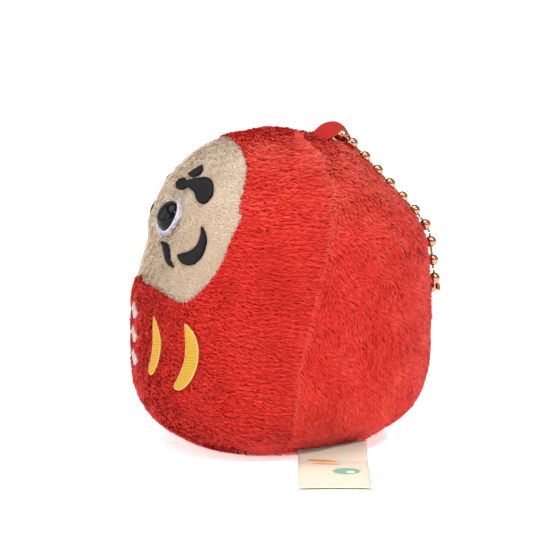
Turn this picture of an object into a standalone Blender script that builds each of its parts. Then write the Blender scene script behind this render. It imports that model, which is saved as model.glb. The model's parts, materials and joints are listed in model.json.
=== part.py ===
"""Daruma mascot: a small plush doll on a ball chain.

Run with: blender --background --python part.py
Units are metres, +Z is up.  The doll faces -Y and its left side is +X.  The origin is the
centre of the flat base, on the surface that the doll stands on.

The doll's skin is a set of short-pile panels sewn round one stuffed core.  Every panel is cut
from the same body surface, so the panels, the stuffing and the sewn marks all follow the body
sizes below.
"""
import bpy
import bmesh
from math import asin, atan2, cos, degrees, hypot, pi, radians, sin, sqrt
from mathutils import Matrix, Vector

# ---------------------------------------------------------------- fits
GAP = 0.0003                    # clearance between pieces that touch
CUT_REACH = 0.08                # how far a cutter reaches past the body
FACE_CUT_REACH = 1.6            # the face cutter, over the body's own size

# ---------------------------------------------------------------- body
BODY_RADIUS = 0.0304            # half depth at the waist, without the pile
BODY_WIDEN = 1.03               # half width over half depth
BODY_HEIGHT = 0.0653
WAIST_TOP = 0.475 * BODY_HEIGHT        # the dome of the head starts here
WAIST_BOTTOM = 0.283 * BODY_HEIGHT     # the rounding to the base starts here
BASE_DROP = 0.0015              # how far the base rounding would run on below the floor
BASE_POWER = 2.6                # squareness of the rounding to the base
ROUND_POWER = 2.1               # squareness of the horizontal section
FACE_INSET = 0.0019             # how far the face is drawn in
FACE_INSET_Z = 0.631 * BODY_HEIGHT
FACE_INSET_SPREAD = 0.080 * BODY_HEIGHT
BACK_SLOPE = 0.0030             # how much the back of the head is sloped off
BACK_SLOPE_Z = 0.850 * BODY_HEIGHT
BACK_SLOPE_SPREAD = 0.086 * BODY_HEIGHT
SHOULDER = 0.0012               # the fuller shoulder under that slope
SHOULDER_Z = 0.665 * BODY_HEIGHT
SHOULDER_SPREAD = 0.055 * BODY_HEIGHT
PANEL = 0.0020                  # thickness of a panel with its backing
BASE_SEAM_Z = 0.0032            # height of the seam round the base panel

# The side seam between the front and the back: height over the body's height, and Y there.
SIDE_SEAM = [(0.0, -0.0035), (0.30, -0.0030), (0.54, 0.0008), (0.77, 0.0045), (1.0, 0.0050)]

# The face and its marks are drawn for a body of this half width and height, and are stretched
# to fit the body.
DRAWN_HALF_WIDTH = 0.0313
DRAWN_HEIGHT = 0.0653

# The face window, seen from the front: half outline from the top centre to the bottom centre.
FACE_OUTLINE = [(0.0, 0.0636), (0.0060, 0.0630), (0.0118, 0.0611), (0.0165, 0.0583),
                (0.0203, 0.0544), (0.0226, 0.0500), (0.0234, 0.0450), (0.0235, 0.0400),
                (0.0224, 0.0352), (0.0198, 0.0326), (0.0160, 0.0333), (0.0100, 0.0347),
                (0.0045, 0.0350), (0.0, 0.0362)]

# ---------------------------------------------------------------- sewn marks
MARK_THICK = 0.0005
# Each stroke is a list of (x, z, half width) along its middle, for the doll's left side.
BROW = [(0.0041, 0.0547, 0.00060), (0.0050, 0.0548, 0.00095), (0.0070, 0.0551, 0.00065),
        (0.0100, 0.0553, 0.00095), (0.0132, 0.0550, 0.00150), (0.0156, 0.0541, 0.00180),
        (0.0168, 0.0530, 0.00145), (0.0172, 0.0520, 0.00070)]
BROW_DASH = [(0.0062, 0.0569, 0.00030), (0.0068, 0.0573, 0.00065), (0.0083, 0.0583, 0.00070),
             (0.0091, 0.0589, 0.00035)]
CHEEK = [(0.0193, 0.0472, 0.00015), (0.0195, 0.0454, 0.00085), (0.0189, 0.0434, 0.00135),
         (0.0175, 0.0417, 0.00150), (0.0154, 0.0409, 0.00115), (0.0134, 0.0413, 0.00015)]
MOUSTACHE = [(0.0036, 0.0432, 0.00015), (0.0060, 0.0429, 0.00045), (0.0084, 0.0419, 0.00055),
             (0.0103, 0.0404, 0.00055), (0.0121, 0.0393, 0.00045), (0.0142, 0.0389, 0.00015)]
STRIPE_INNER = [(0.0133, 0.0289, 0.00015), (0.0141, 0.0265, 0.00080), (0.0142, 0.0238, 0.00120),
                (0.0137, 0.0206, 0.00110), (0.0122, 0.0168, 0.00015)]
STRIPE_OUTER = [(0.0217, 0.0283, 0.00015), (0.0226, 0.0256, 0.00080), (0.0227, 0.0226, 0.00125),
                (0.0219, 0.0190, 0.00130), (0.0192, 0.0150, 0.00015)]
CHEST_HALF_WIDTH = 0.0042       # chest lozenges
CHEST_HALF_HEIGHT = 0.0022
CHEST_TOP_Z = 0.0286
CHEST_STEP = 0.0049
CHEST_COUNT = 3

# ---------------------------------------------------------------- eyes
EYE_X = 0.0074
EYE_Z = 0.0485
EYE_RADIUS = 0.0030
EYE_DOME = 0.0024
EYE_RIM = 0.0003                # straight rim under the dome
EYE_WHITE_RADIUS = 0.0041
SHANK_RADIUS = 0.0010
SHANK_END = 0.0012              # shank past the washer
WASHER_RADIUS = 0.0032
WASHER_THICK = 0.0010
WASHER_SINK = 0.0009            # the flat washer below the middle of the curved panel

# ---------------------------------------------------------------- ribbon
RIBBON_X = 0.0010               # middle of the ribbon
RIBBON_WIDTH = 0.0060
RIBBON_THICK = 0.0004
RIBBON_SEWN = 0.0032            # length sewn into the seam
# Middle line of the loop, from its lower root round the bow to its upper root: Y, and height
# above the head there.
RIBBON_LOOP = [(0.00555, 0.00045), (0.0076, 0.00045), (0.0097, 0.00045), (0.0117, 0.00045),
               (0.0136, 0.0016), (0.0148, 0.0040), (0.0142, 0.0056), (0.0125, 0.0051),
               (0.0100, 0.0034), (0.0074, 0.0017), (0.00475, 0.00095)]

# ---------------------------------------------------------------- ball chain
BEAD_RADIUS = 0.0012
BEAD_LINK = 0.0015              # wire between two beads
BEAD_PITCH = 2.0 * BEAD_RADIUS + BEAD_LINK
WIRE_RADIUS = 0.00025
STRAND_HALF_SPACING = 0.5 * RIBBON_WIDTH + BEAD_RADIUS + 0.0003
BOW_RADIUS = 0.0019             # turn of the chain beside the ribbon
PIVOT_Y = 0.0127                # where the chain hangs in the ribbon
PIVOT_LIFT = 0.0027             # height of that place above the head
TOP_BEADS = 6                   # beads on each strand of the top run, past the two in the ribbon
LOWER_RUNS = [("chain_mid", 1), ("chain_low", 2)]    # the runs below it: beads on each strand
CHAIN_CLEAR = 0.00035           # closest that the hanging chain comes to the body
CLASP_INNER = BEAD_RADIUS + 0.0002
CLASP_OUTER = CLASP_INNER + 0.00025
CLASP_HALF_LENGTH = 0.0034
CLASP_OPEN_DEG = 110.0          # open side of the clasp's trough

# ---------------------------------------------------------------- label
LABEL_WIDTH = 0.0140
LABEL_TURN = -12.0              # degrees from +X, turned to the front
LABEL_ROOT_X = 0.724 * BODY_RADIUS     # where the label leaves the body
LABEL_ROOT_Y = 0.210 * BODY_RADIUS
LABEL_SEWN = 0.0050             # length inside the seam
LABEL_RISE = 0.0029             # height of its sewn end
LABEL_FOLD = 0.0055             # from the seam to where the pages lie flat
LABEL_LENGTH = 0.0300           # from the seam to the end of the longer page
LABEL_SHORTER = 0.0010          # the upper page is this much shorter
PAGE_THICK = 0.00025
PAGE_LIFT = 0.00005             # the lower page above the floor

# ---------------------------------------------------------------- mesh fineness
BODY_SIDES = 48
STUFFING_SIDES = 32
DOME_RINGS = 11
WAIST_RINGS = 3
BASE_RINGS = 6
CHAIN_SIDES = 8
LATHE_SIDES = 18
STROKE_STEPS = 12
BEAD_ANGLES = (-50.0, -18.0, 18.0, 50.0)


# ================================================================ materials
def make_material(name, colour, roughness, metallic=0.0):
    material = bpy.data.materials.new(name)
    material.use_nodes = True
    shader = material.node_tree.nodes["Principled BSDF"]
    shader.inputs["Base Color"].default_value = (*colour, 1.0)
    shader.inputs["Roughness"].default_value = roughness
    shader.inputs["Metallic"].default_value = metallic
    return material


def make_materials():
    return {
        "red_plush": make_material("red_plush", (0.62, 0.035, 0.022), 0.9),
        "cream_plush": make_material("cream_plush", (0.66, 0.51, 0.38), 0.9),
        "filling": make_material("filling", (0.85, 0.85, 0.82), 1.0),
        "black_thread": make_material("black_thread", (0.012, 0.010, 0.012), 0.5),
        "yellow_thread": make_material("yellow_thread", (0.76, 0.46, 0.07), 0.5),
        "white_thread": make_material("white_thread", (0.82, 0.78, 0.72), 0.5),
        "white_felt": make_material("white_felt", (0.72, 0.69, 0.76), 0.9),
        "black_plastic": make_material("black_plastic", (0.008, 0.008, 0.009), 0.12),
        "washer_plastic": make_material("washer_plastic", (0.7, 0.7, 0.68), 0.4),
        "red_satin": make_material("red_satin", (0.48, 0.02, 0.02), 0.35),
        "gold": make_material("gold", (0.85, 0.58, 0.33), 0.2, 1.0),
        "label_satin": make_material("label_satin", (0.80, 0.74, 0.55), 0.4),
    }


# ================================================================ body surface
def bump(z, middle, spread):
    return 2.718281828 ** (-((z - middle) / spread) ** 2)


def round_radius(z):
    """Half depth of the plain turned body at height z."""
    if z >= WAIST_TOP:
        rise = (z - WAIST_TOP) / (BODY_HEIGHT - WAIST_TOP)
        return BODY_RADIUS * sqrt(max(0.0, 1.0 - rise * rise))
    if z >= WAIST_BOTTOM:
        return BODY_RADIUS
    fall = (WAIST_BOTTOM - z) / (WAIST_BOTTOM + BASE_DROP)
    return BODY_RADIUS * (1.0 - fall ** BASE_POWER) ** (1.0 / BASE_POWER)


def half_width(z):
    return round_radius(z) * BODY_WIDEN


def half_depth(z, front):
    radius = round_radius(z)
    fade = min(1.0, radius / (0.4 * BODY_RADIUS))
    if front:
        return radius - FACE_INSET * bump(z, FACE_INSET_Z, FACE_INSET_SPREAD) * fade
    shape = SHOULDER * bump(z, SHOULDER_Z, SHOULDER_SPREAD)
    shape -= BACK_SLOPE * bump(z, BACK_SLOPE_Z, BACK_SLOPE_SPREAD)
    return radius + shape * fade


def ring_point(angle, z):
    """Point of the body surface; angle runs from +X towards +Y."""
    c, s = cos(angle), sin(angle)
    power = 2.0 / ROUND_POWER
    x = half_width(z) * abs(c) ** power * (1 if c >= 0 else -1)
    y = half_depth(z, s < 0) * abs(s) ** power * (1 if s >= 0 else -1)
    return Vector((x, y, z))


def front_point(x, z):
    """Point on the front of the body at a given x and height."""
    across = min(0.999, abs(x) / half_width(z))
    y = -half_depth(z, True) * (1.0 - across ** ROUND_POWER) ** (1.0 / ROUND_POWER)
    return Vector((x, y, z))


def front_normal(x, z):
    step = 0.0002
    along_x = front_point(x + step, z) - front_point(x - step, z)
    along_z = front_point(x, z + step) - front_point(x, z - step)
    normal = along_x.cross(along_z)
    return normal.normalized()


def back_depth(x, z):
    """Y of the back of the body at a given x and height."""
    across = min(1.0, abs(x) / max(1e-6, half_width(z)))
    return half_depth(z, False) * (1.0 - across ** ROUND_POWER) ** (1.0 / ROUND_POWER)


def top_height(x, y):
    """Height of the back of the head over a given x and y."""
    low, high = WAIST_TOP, BODY_HEIGHT
    for _ in range(40):
        middle = 0.5 * (low + high)
        if abs(x) < half_width(middle) and back_depth(x, middle) > y:
            low = middle
        else:
            high = middle
    return low


def ring_heights():
    """Heights of the body rings, closer together where the surface turns."""
    lowest = asin((WAIST_BOTTOM / (WAIST_BOTTOM + BASE_DROP)) ** (BASE_POWER / 2.0))
    heights = []
    for i in range(BASE_RINGS, 0, -1):
        fall = sin(lowest * i / BASE_RINGS) ** (2.0 / BASE_POWER)
        heights.append(WAIST_BOTTOM - fall * (WAIST_BOTTOM + BASE_DROP))
    heights[0] = 0.0
    for i in range(WAIST_RINGS):
        heights.append(WAIST_BOTTOM + (WAIST_TOP - WAIST_BOTTOM) * i / WAIST_RINGS)
    for i in range(DOME_RINGS):
        heights.append(WAIST_TOP + (BODY_HEIGHT - WAIST_TOP) * sin(0.5 * pi * i / DOME_RINGS))
    return heights


def body_mesh(name, inset, sides):
    """Closed body, drawn in by inset along its normals."""
    bm = bmesh.new()
    rings = []
    for z in ring_heights():
        rings.append([bm.verts.new(ring_point(2 * pi * i / sides, z)) for i in range(sides)])
    top = bm.verts.new((0.0, 0.0, BODY_HEIGHT))
    for low, high in zip(rings, rings[1:]):
        for i in range(sides):
            j = (i + 1) % sides
            bm.faces.new((low[i], low[j], high[j], high[i]))
    for i in range(sides):
        bm.faces.new((rings[-1][i], rings[-1][(i + 1) % sides], top))
    bm.faces.new(list(reversed(rings[0])))
    if inset:
        bm.normal_update()
        moved = [v.co - inset_direction(v) * inset for v in bm.verts]
        for vert, place in zip(bm.verts, moved):
            vert.co = place
        for vert in rings[0]:
            vert.co.z = inset
    mesh = bpy.data.meshes.new(name)
    bm.to_mesh(mesh)
    bm.free()
    return mesh


def inset_direction(vert):
    """Normal from the round faces only, so that the flat base doesn't tilt it."""
    total = Vector((0.0, 0.0, 0.0))
    for face in vert.link_faces:
        if len(face.verts) <= 4:
            total += face.normal
    return total.normalized()


# ================================================================ object helpers
def add_object(name, mesh, material=None, smooth_deg=None, origin=None):
    """A moving piece gives its joint's place as its origin."""
    obj = bpy.data.objects.new(name, mesh)
    bpy.context.scene.collection.objects.link(obj)
    if origin is not None:
        mesh.transform(Matrix.Translation(-Vector(origin)))
        obj.location = origin
    if material is not None:
        mesh.materials.append(material)
    if smooth_deg is not None:
        mesh.shade_smooth()
        mesh.set_sharp_from_angle(angle=radians(smooth_deg))
    return obj


def as_cutter(obj):
    obj.hide_render = True
    obj.display_type = 'WIRE'
    return obj


def add_boolean(obj, cutter, operation):
    modifier = obj.modifiers.new(operation.lower(), 'BOOLEAN')
    modifier.operation = operation
    modifier.solver = 'EXACT'
    modifier.object = cutter


def mesh_from(name, verts, faces, recalculate=True):
    bm = bmesh.new()
    made = [bm.verts.new(v) for v in verts]
    for face in faces:
        bm.faces.new([made[i] for i in face])
    if recalculate:
        bmesh.ops.recalc_face_normals(bm, faces=bm.faces)
    mesh = bpy.data.meshes.new(name)
    bm.to_mesh(mesh)
    bm.free()
    return mesh


def prism_along_x(name, outline):
    """Cutter: a YZ outline carried right across the body."""
    count = len(outline)
    verts = [(-CUT_REACH, y, z) for y, z in outline] + [(CUT_REACH, y, z) for y, z in outline]
    faces = [list(range(count)), list(range(count, 2 * count))]
    faces += [(i, (i + 1) % count, count + (i + 1) % count, count + i) for i in range(count)]
    return as_cutter(add_object(name, mesh_from(name, verts, faces)))


def cone_cutter(name, loop, reach):
    """Cutter: a loop on the body's front, carried out from the middle of the body."""
    middle = Vector((0.0, 0.0, 0.5 * BODY_HEIGHT))
    verts = [middle] + [middle + (point - middle) * reach for point in loop]
    verts.append(Vector((0.0, -CUT_REACH, 0.5 * BODY_HEIGHT)))
    count, tip = len(loop), len(loop) + 1
    faces = []
    for i in range(count):
        a, b = 1 + i, 1 + (i + 1) % count
        faces += [(0, a, b), (tip, b, a)]
    return as_cutter(add_object(name, mesh_from(name, verts, faces)))


def box_mesh(name, low, high):
    verts = [(x, y, z) for x in (low[0], high[0]) for y in (low[1], high[1])
             for z in (low[2], high[2])]
    faces = [(0, 1, 3, 2), (4, 6, 7, 5), (0, 4, 5, 1), (2, 3, 7, 6), (0, 2, 6, 4), (1, 5, 7, 3)]
    return mesh_from(name, verts, faces)


def box_cutter(name, low, high, matrix=None):
    mesh = box_mesh(name, low, high)
    if matrix is not None:
        mesh.transform(matrix)
    return as_cutter(add_object(name, mesh))


def lathe_mesh(name, profile, sides=LATHE_SIDES):
    """Turned solid about Z from (radius, height) points; a zero radius closes an end."""
    verts, rings, faces = [], [], []
    for radius, height in profile:
        if radius == 0.0:
            rings.append([len(verts)])
            verts.append((0.0, 0.0, height))
            continue
        rings.append(list(range(len(verts), len(verts) + sides)))
        verts += [(radius * cos(2 * pi * i / sides), radius * sin(2 * pi * i / sides), height)
                  for i in range(sides)]
    for low, high in zip(rings, rings[1:]):
        for i in range(sides):
            j = (i + 1) % sides
            if len(low) == 1:
                faces.append((low[0], high[i], high[j]))
            elif len(high) == 1:
                faces.append((low[i], low[j], high[0]))
            else:
                faces.append((low[i], low[j], high[j], high[i]))
    return mesh_from(name, verts, faces)


def smooth_curve(points, steps):
    """Catmull-Rom curve through tuples of any length, ends included."""
    out = []
    count = len(points)
    for i in range(count - 1):
        p0 = points[max(0, i - 1)]
        p1, p2 = points[i], points[i + 1]
        p3 = points[min(count - 1, i + 2)]
        for k in range(steps):
            t = k / steps
            out.append(tuple(
                0.5 * (2 * b + (c - a) * t + (2 * a - 5 * b + 4 * c - d) * t * t
                       + (3 * b - a - 3 * c + d) * t ** 3)
                for a, b, c, d in zip(p0, p1, p2, p3)))
    out.append(tuple(points[-1]))
    return out


def mirrored(points):
    return [(-x, *rest) for x, *rest in points]


def fitted(points):
    """Drawn points, which start with x and z, stretched to the body."""
    wide = BODY_RADIUS * BODY_WIDEN / DRAWN_HALF_WIDTH
    high = BODY_HEIGHT / DRAWN_HEIGHT
    return [(x * wide, z * high, *rest) for x, z, *rest in points]


# ================================================================ panels and stuffing
def seam_outline(shift, front):
    """YZ outline of everything in front of, or behind, the side seam."""
    far = -CUT_REACH if front else CUT_REACH
    seam = [(y + shift, z * BODY_HEIGHT) for z, y in smooth_curve(SIDE_SEAM, 5)]
    seam[0] = (seam[0][0], -CUT_REACH)
    seam[-1] = (seam[-1][0], CUT_REACH)
    return [(far, -CUT_REACH)] + seam + [(far, CUT_REACH)]


def face_loop(grow):
    """Edge of the face window on the body surface, moved outwards by grow."""
    half = smooth_curve(fitted(FACE_OUTLINE), 2)
    outline = half + [(-x, z) for x, z in reversed(half[1:-1])]
    count = len(outline)
    points = [front_point(x, z) for x, z in outline]
    loop = []
    for i, (x, z) in enumerate(outline):
        along = points[(i + 1) % count] - points[i - 1]
        outwards = front_normal(x, z).cross(along).normalized()
        loop.append(points[i] + outwards * grow)
    return loop


def make_panels(materials):
    inner = as_cutter(add_object("cut_inner_body", body_mesh("cut_inner_body", PANEL, BODY_SIDES)))
    above_base = box_cutter("cut_above_base", (-CUT_REACH, -CUT_REACH, BASE_SEAM_Z + GAP),
                            (CUT_REACH, CUT_REACH, CUT_REACH))
    below_seam = box_cutter("cut_base", (-CUT_REACH, -CUT_REACH, -CUT_REACH),
                            (CUT_REACH, CUT_REACH, BASE_SEAM_Z))
    front = prism_along_x("cut_front", seam_outline(-0.5 * GAP, True))
    back = prism_along_x("cut_back", seam_outline(0.5 * GAP, False))
    left = box_cutter("cut_left", (0.5 * GAP, -CUT_REACH, -CUT_REACH),
                      (CUT_REACH, CUT_REACH, CUT_REACH))
    right = box_cutter("cut_right", (-CUT_REACH, -CUT_REACH, -CUT_REACH),
                       (-0.5 * GAP, CUT_REACH, CUT_REACH))
    window = cone_cutter("cut_face", face_loop(0.0), FACE_CUT_REACH)
    window_edge = cone_cutter("cut_face_edge", face_loop(GAP), FACE_CUT_REACH)
    recipes = {
        "face_panel": ("cream_plush", [window], []),
        "front_panel": ("red_plush", [front, above_base], [window_edge]),
        "back_panel_left": ("red_plush", [back, left, above_base], []),
        "back_panel_right": ("red_plush", [back, right, above_base], []),
        "base_panel": ("red_plush", [below_seam], []),
    }
    panels = {}
    for name, (material, keep, remove) in recipes.items():
        panel = add_object(name, body_mesh(name, 0.0, BODY_SIDES), materials[material], 40)
        for cutter in keep:
            add_boolean(panel, cutter, 'INTERSECT')
        for cutter in remove + [inner]:
            add_boolean(panel, cutter, 'DIFFERENCE')
        panels[name] = panel
    return panels


def make_stuffing(materials):
    mesh = body_mesh("stuffing", PANEL + GAP, STUFFING_SIDES)
    return add_object("stuffing", mesh, materials["filling"], 60)


# ================================================================ sewn marks
def stroke_mesh(name, stroke, bulge_rows=2):
    """Thin pad that follows the front of the body, along a middle line with half widths."""
    steps = max(2, STROKE_STEPS // (len(stroke) - 1))
    line = smooth_curve(fitted(stroke), steps)
    rows = []
    for i, (x, z, half) in enumerate(line):
        before, after = line[max(0, i - 1)], line[min(len(line) - 1, i + 1)]
        along = Vector((after[0] - before[0], after[1] - before[1])).normalized()
        side = Vector((-along.y, along.x)) * max(half, 0.0001)
        rows.append([(x + side.x * t, z + side.y * t)
                     for t in [2.0 * k / bulge_rows - 1.0 for k in range(bulge_rows + 1)]])
    return pad_mesh(name, rows, closed=False)


def pad_mesh(name, rows, closed):
    """Solid pad over a grid of (x, z) points, one gap above the body surface."""
    verts = []
    for lift in (GAP, GAP + MARK_THICK):
        for row in rows:
            verts += [front_point(x, z) + front_normal(x, z) * lift for x, z in row]
    width, length = len(rows[0]), len(rows)
    top = width * length
    spans = [(i, (i + 1) % length) for i in range(length if closed else length - 1)]
    faces = []
    for i, j in spans:
        for k in range(width - 1):
            a, b, c, d = i * width + k, i * width + k + 1, j * width + k + 1, j * width + k
            faces += [(a, b, c, d), (top + a, top + d, top + c, top + b)]
        for k in (0, width - 1):
            a, b = i * width + k, j * width + k
            faces.append((a, b, top + b, top + a))
    if not closed:
        for i in (0, length - 1):
            for k in range(width - 1):
                a, b = i * width + k, i * width + k + 1
                faces.append((a, b, top + b, top + a))
    return mesh_from(name, verts, faces)


def make_marks(materials):
    pairs = [("brow", BROW, "black_thread"), ("brow_dash", BROW_DASH, "black_thread"),
             ("cheek_curl", CHEEK, "black_thread"), ("moustache", MOUSTACHE, "black_thread"),
             ("stripe_inner", STRIPE_INNER, "yellow_thread"),
             ("stripe_outer", STRIPE_OUTER, "yellow_thread")]
    for name, stroke, material in pairs:
        for side, points in (("left", stroke), ("right", mirrored(stroke))):
            full = f"{name}_{side}"
            add_object(full, stroke_mesh(full, points), materials[material], 40)
    for i in range(CHEST_COUNT):
        full = f"chest_lozenge_{i + 1}"
        mesh = lozenge_mesh(full, CHEST_TOP_Z - i * CHEST_STEP)
        add_object(full, mesh, materials["white_thread"], 40)


def lozenge_mesh(name, z):
    """A lozenge with straight edges, as a pad on the front of the body."""
    rows = []
    for t in (-1.0, -0.5, 0.0, 0.5, 1.0):
        reach = max(0.0001, CHEST_HALF_WIDTH * (1.0 - abs(t)))
        rows.append(fitted([(reach * k / 3.0, z + CHEST_HALF_HEIGHT * t) for k in range(-3, 4)]))
    return pad_mesh(name, rows, closed=False)


# ================================================================ eyes
def eye_place(side):
    [(x, z)] = fitted([(EYE_X * side, EYE_Z)])
    matrix = front_normal(x, z).to_track_quat('Z', 'Y').to_matrix().to_4x4()
    matrix.translation = front_point(x, z)
    return matrix


def eye_profile():
    """Shank, flat back, rim and dome along the eye's own axis; zero is the body surface."""
    seat = 2 * GAP + MARK_THICK
    end = -(PANEL + WASHER_SINK + WASHER_THICK + SHANK_END)
    profile = [(0.0, end), (SHANK_RADIUS, end), (SHANK_RADIUS, seat), (EYE_RADIUS, seat),
               (EYE_RADIUS, seat + EYE_RIM)]
    for angle in (22.0, 45.0, 68.0):
        profile.append((EYE_RADIUS * cos(radians(angle)),
                        seat + EYE_RIM + (EYE_DOME - EYE_RIM) * sin(radians(angle))))
    profile.append((0.0, seat + EYE_DOME))
    return profile


def washer_profile():
    top = -(PANEL + WASHER_SINK)
    bottom = top - WASHER_THICK
    hole = SHANK_RADIUS + GAP
    return [(hole, bottom), (WASHER_RADIUS, bottom), (WASHER_RADIUS, top), (hole, top),
            (hole, bottom)]


def closed_ring_mesh(name, profile, sides=LATHE_SIDES):
    """Turned ring about Z from a closed (radius, height) outline without its repeated end."""
    count = len(profile)
    verts = [(r * cos(2 * pi * i / sides), r * sin(2 * pi * i / sides), z)
             for i in range(sides) for r, z in profile]
    faces = []
    for i in range(sides):
        j = (i + 1) % sides
        faces += [(i * count + k, i * count + (k + 1) % count, j * count + (k + 1) % count,
                   j * count + k) for k in range(count)]
    return mesh_from(name, verts, faces)


def eye_white_mesh(name, side):
    """Felt ring round the eye's shank, following the face."""
    place = eye_place(side)
    hole = SHANK_RADIUS + GAP
    rows = []
    for i in range(LATHE_SIDES):
        angle = 2 * pi * i / LATHE_SIDES
        row = []
        for k in range(3):
            radius = hole + (EYE_WHITE_RADIUS - hole) * k / 2.0
            point = place @ Vector((radius * cos(angle), radius * sin(angle), 0.0))
            row.append((point.x, point.z))
        rows.append(row)
    return pad_mesh(name, rows, closed=True)


def make_eyes(materials, panels, stuffing):
    for side, word in ((1, "left"), (-1, "right")):
        place = eye_place(side)
        eye = lathe_mesh(f"eye_{word}", eye_profile())
        eye.transform(place)
        add_object(f"eye_{word}", eye, materials["black_plastic"], 35)
        washer = closed_ring_mesh(f"eye_washer_{word}", washer_profile()[:-1])
        washer.transform(place)
        add_object(f"eye_washer_{word}", washer, materials["washer_plastic"], 35)
        white = eye_white_mesh(f"eye_white_{word}", side)
        add_object(f"eye_white_{word}", white, materials["white_felt"], 40)
        hole = lathe_mesh(f"cut_shank_{word}", [
            (0.0, -0.01), (SHANK_RADIUS + GAP, -0.01), (SHANK_RADIUS + GAP, 0.01), (0.0, 0.01)])
        hole.transform(place)
        add_boolean(panels["face_panel"], as_cutter(add_object(f"cut_shank_{word}", hole)),
                    'DIFFERENCE')
        deep = -(PANEL + WASHER_SINK + WASHER_THICK + SHANK_END + GAP)
        pocket = lathe_mesh(f"cut_washer_{word}", [
            (0.0, deep), (WASHER_RADIUS + GAP, deep), (WASHER_RADIUS + GAP, 0.01), (0.0, 0.01)])
        pocket.transform(place)
        add_boolean(stuffing, as_cutter(add_object(f"cut_washer_{word}", pocket)), 'DIFFERENCE')


# ================================================================ ribbon
def strip_mesh(name, line, x_low, x_high, thick):
    """Strip of even thickness along a YZ line, between two X values."""
    verts, faces = [], []
    for i, (y, z) in enumerate(line):
        before, after = line[max(0, i - 1)], line[min(len(line) - 1, i + 1)]
        along = Vector((after[0] - before[0], after[1] - before[1])).normalized()
        side = Vector((-along.y, along.x)) * (0.5 * thick)
        for sign in (-1, 1):
            for x in (x_low, x_high):
                verts.append((x, y + side.x * sign, z + side.y * sign))
    last = len(line) - 1
    for i in range(last):
        a, b = 4 * i, 4 * i + 4
        faces += [(a, a + 1, b + 1, b), (a + 2, b + 2, b + 3, a + 3),
                  (a, b, b + 2, a + 2), (a + 1, a + 3, b + 3, b + 1)]
    faces += [(0, 2, 3, 1), (4 * last, 4 * last + 1, 4 * last + 3, 4 * last + 2)]
    return mesh_from(name, verts, faces)


def make_ribbon(materials, panels, stuffing):
    half = 0.5 * RIBBON_WIDTH
    line = [(y, top_height(0.0, y) + lift) for y, lift in RIBBON_LOOP]
    loop = strip_mesh("ribbon_loop", smooth_curve(line, 3), RIBBON_X - half,
                      RIBBON_X + half, RIBBON_THICK)
    root_y = SIDE_SEAM[-1][1]
    hinge = (RIBBON_X, root_y, 0.5 * (line[0][1] + line[-1][1]))
    add_object("ribbon_loop", loop, materials["red_satin"], 50, origin=hinge)
    root_z = min(line[0][1], line[-1][1]) - RIBBON_THICK - GAP
    low = (RIBBON_X - half, root_y - RIBBON_THICK, root_z - RIBBON_SEWN)
    high = (RIBBON_X + half, root_y + RIBBON_THICK, root_z)
    ends = box_mesh("ribbon_ends", low, high)
    add_object("ribbon_ends", ends, materials["red_satin"])
    slot = box_cutter("cut_ribbon_slot", tuple(c - GAP for c in low),
                      (high[0] + GAP, high[1] + GAP, CUT_REACH))
    for name in ("front_panel", "back_panel_left", "back_panel_right"):
        add_boolean(panels[name], slot, 'DIFFERENCE')
    add_boolean(stuffing, slot, 'DIFFERENCE')


# ================================================================ ball chain
BOW_STRAIGHT = STRAND_HALF_SPACING - BOW_RADIUS
BOW_ARC_END = BOW_STRAIGHT + 0.5 * pi * BOW_RADIUS
FIRST_BEADS = (0.5 * BEAD_PITCH, 1.5 * BEAD_PITCH)


def bow_point(arc):
    """Point (across, down) at an arc length from the middle of the chain's turn."""
    sign = 1.0 if arc >= 0 else -1.0
    reach = abs(arc)
    if reach <= BOW_STRAIGHT:
        return Vector((arc, 0.0))
    if reach <= BOW_ARC_END:
        angle = (reach - BOW_STRAIGHT) / BOW_RADIUS
        return Vector((sign * (BOW_STRAIGHT + BOW_RADIUS * sin(angle)),
                       BOW_RADIUS * (1.0 - cos(angle))))
    return Vector((sign * STRAND_HALF_SPACING, BOW_RADIUS + reach - BOW_ARC_END))


def bow_tangent(arc):
    step = 0.00002
    return (bow_point(arc + step) - bow_point(arc - step)).normalized()


def down_at(arc):
    return bow_point(arc).y


def beaded_rod(name, start, end, beads, point, tangent, place):
    """One closed body: wire with fused beads, swept along a flat path.

    start, end and beads are arc lengths; point and tangent give the path in the plane
    (across, down), and place carries that plane into the doll.
    """
    stations = [(start, WIRE_RADIUS)]
    for bead in beads:
        edge = sqrt(BEAD_RADIUS ** 2 - WIRE_RADIUS ** 2)
        stations.append((bead - edge, WIRE_RADIUS))
        for angle in BEAD_ANGLES:
            stations.append((bead + BEAD_RADIUS * sin(radians(angle)),
                             BEAD_RADIUS * cos(radians(angle))))
        stations.append((bead + edge, WIRE_RADIUS))
    stations.append((end, WIRE_RADIUS))
    stations = [s for i, s in enumerate(stations)
                if i == 0 or s[0] - stations[i - 1][0] > 0.00003]
    verts, faces = [], []
    for arc, radius in stations:
        centre, along = point(arc), tangent(arc)
        side = Vector((-along.y, along.x))
        for i in range(CHAIN_SIDES):
            turn = 2 * pi * i / CHAIN_SIDES
            flat = centre + side * (radius * cos(turn))
            verts.append(place @ Vector((flat.x, flat.y, radius * sin(turn))))
    for ring in range(len(stations) - 1):
        a, b = ring * CHAIN_SIDES, (ring + 1) * CHAIN_SIDES
        for i in range(CHAIN_SIDES):
            j = (i + 1) % CHAIN_SIDES
            faces.append((a + i, a + j, b + j, b + i))
    last = (len(stations) - 1) * CHAIN_SIDES
    faces.append(list(range(CHAIN_SIDES)))
    faces.append(list(range(last, last + CHAIN_SIDES)))
    return mesh_from(name, verts, faces)


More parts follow.
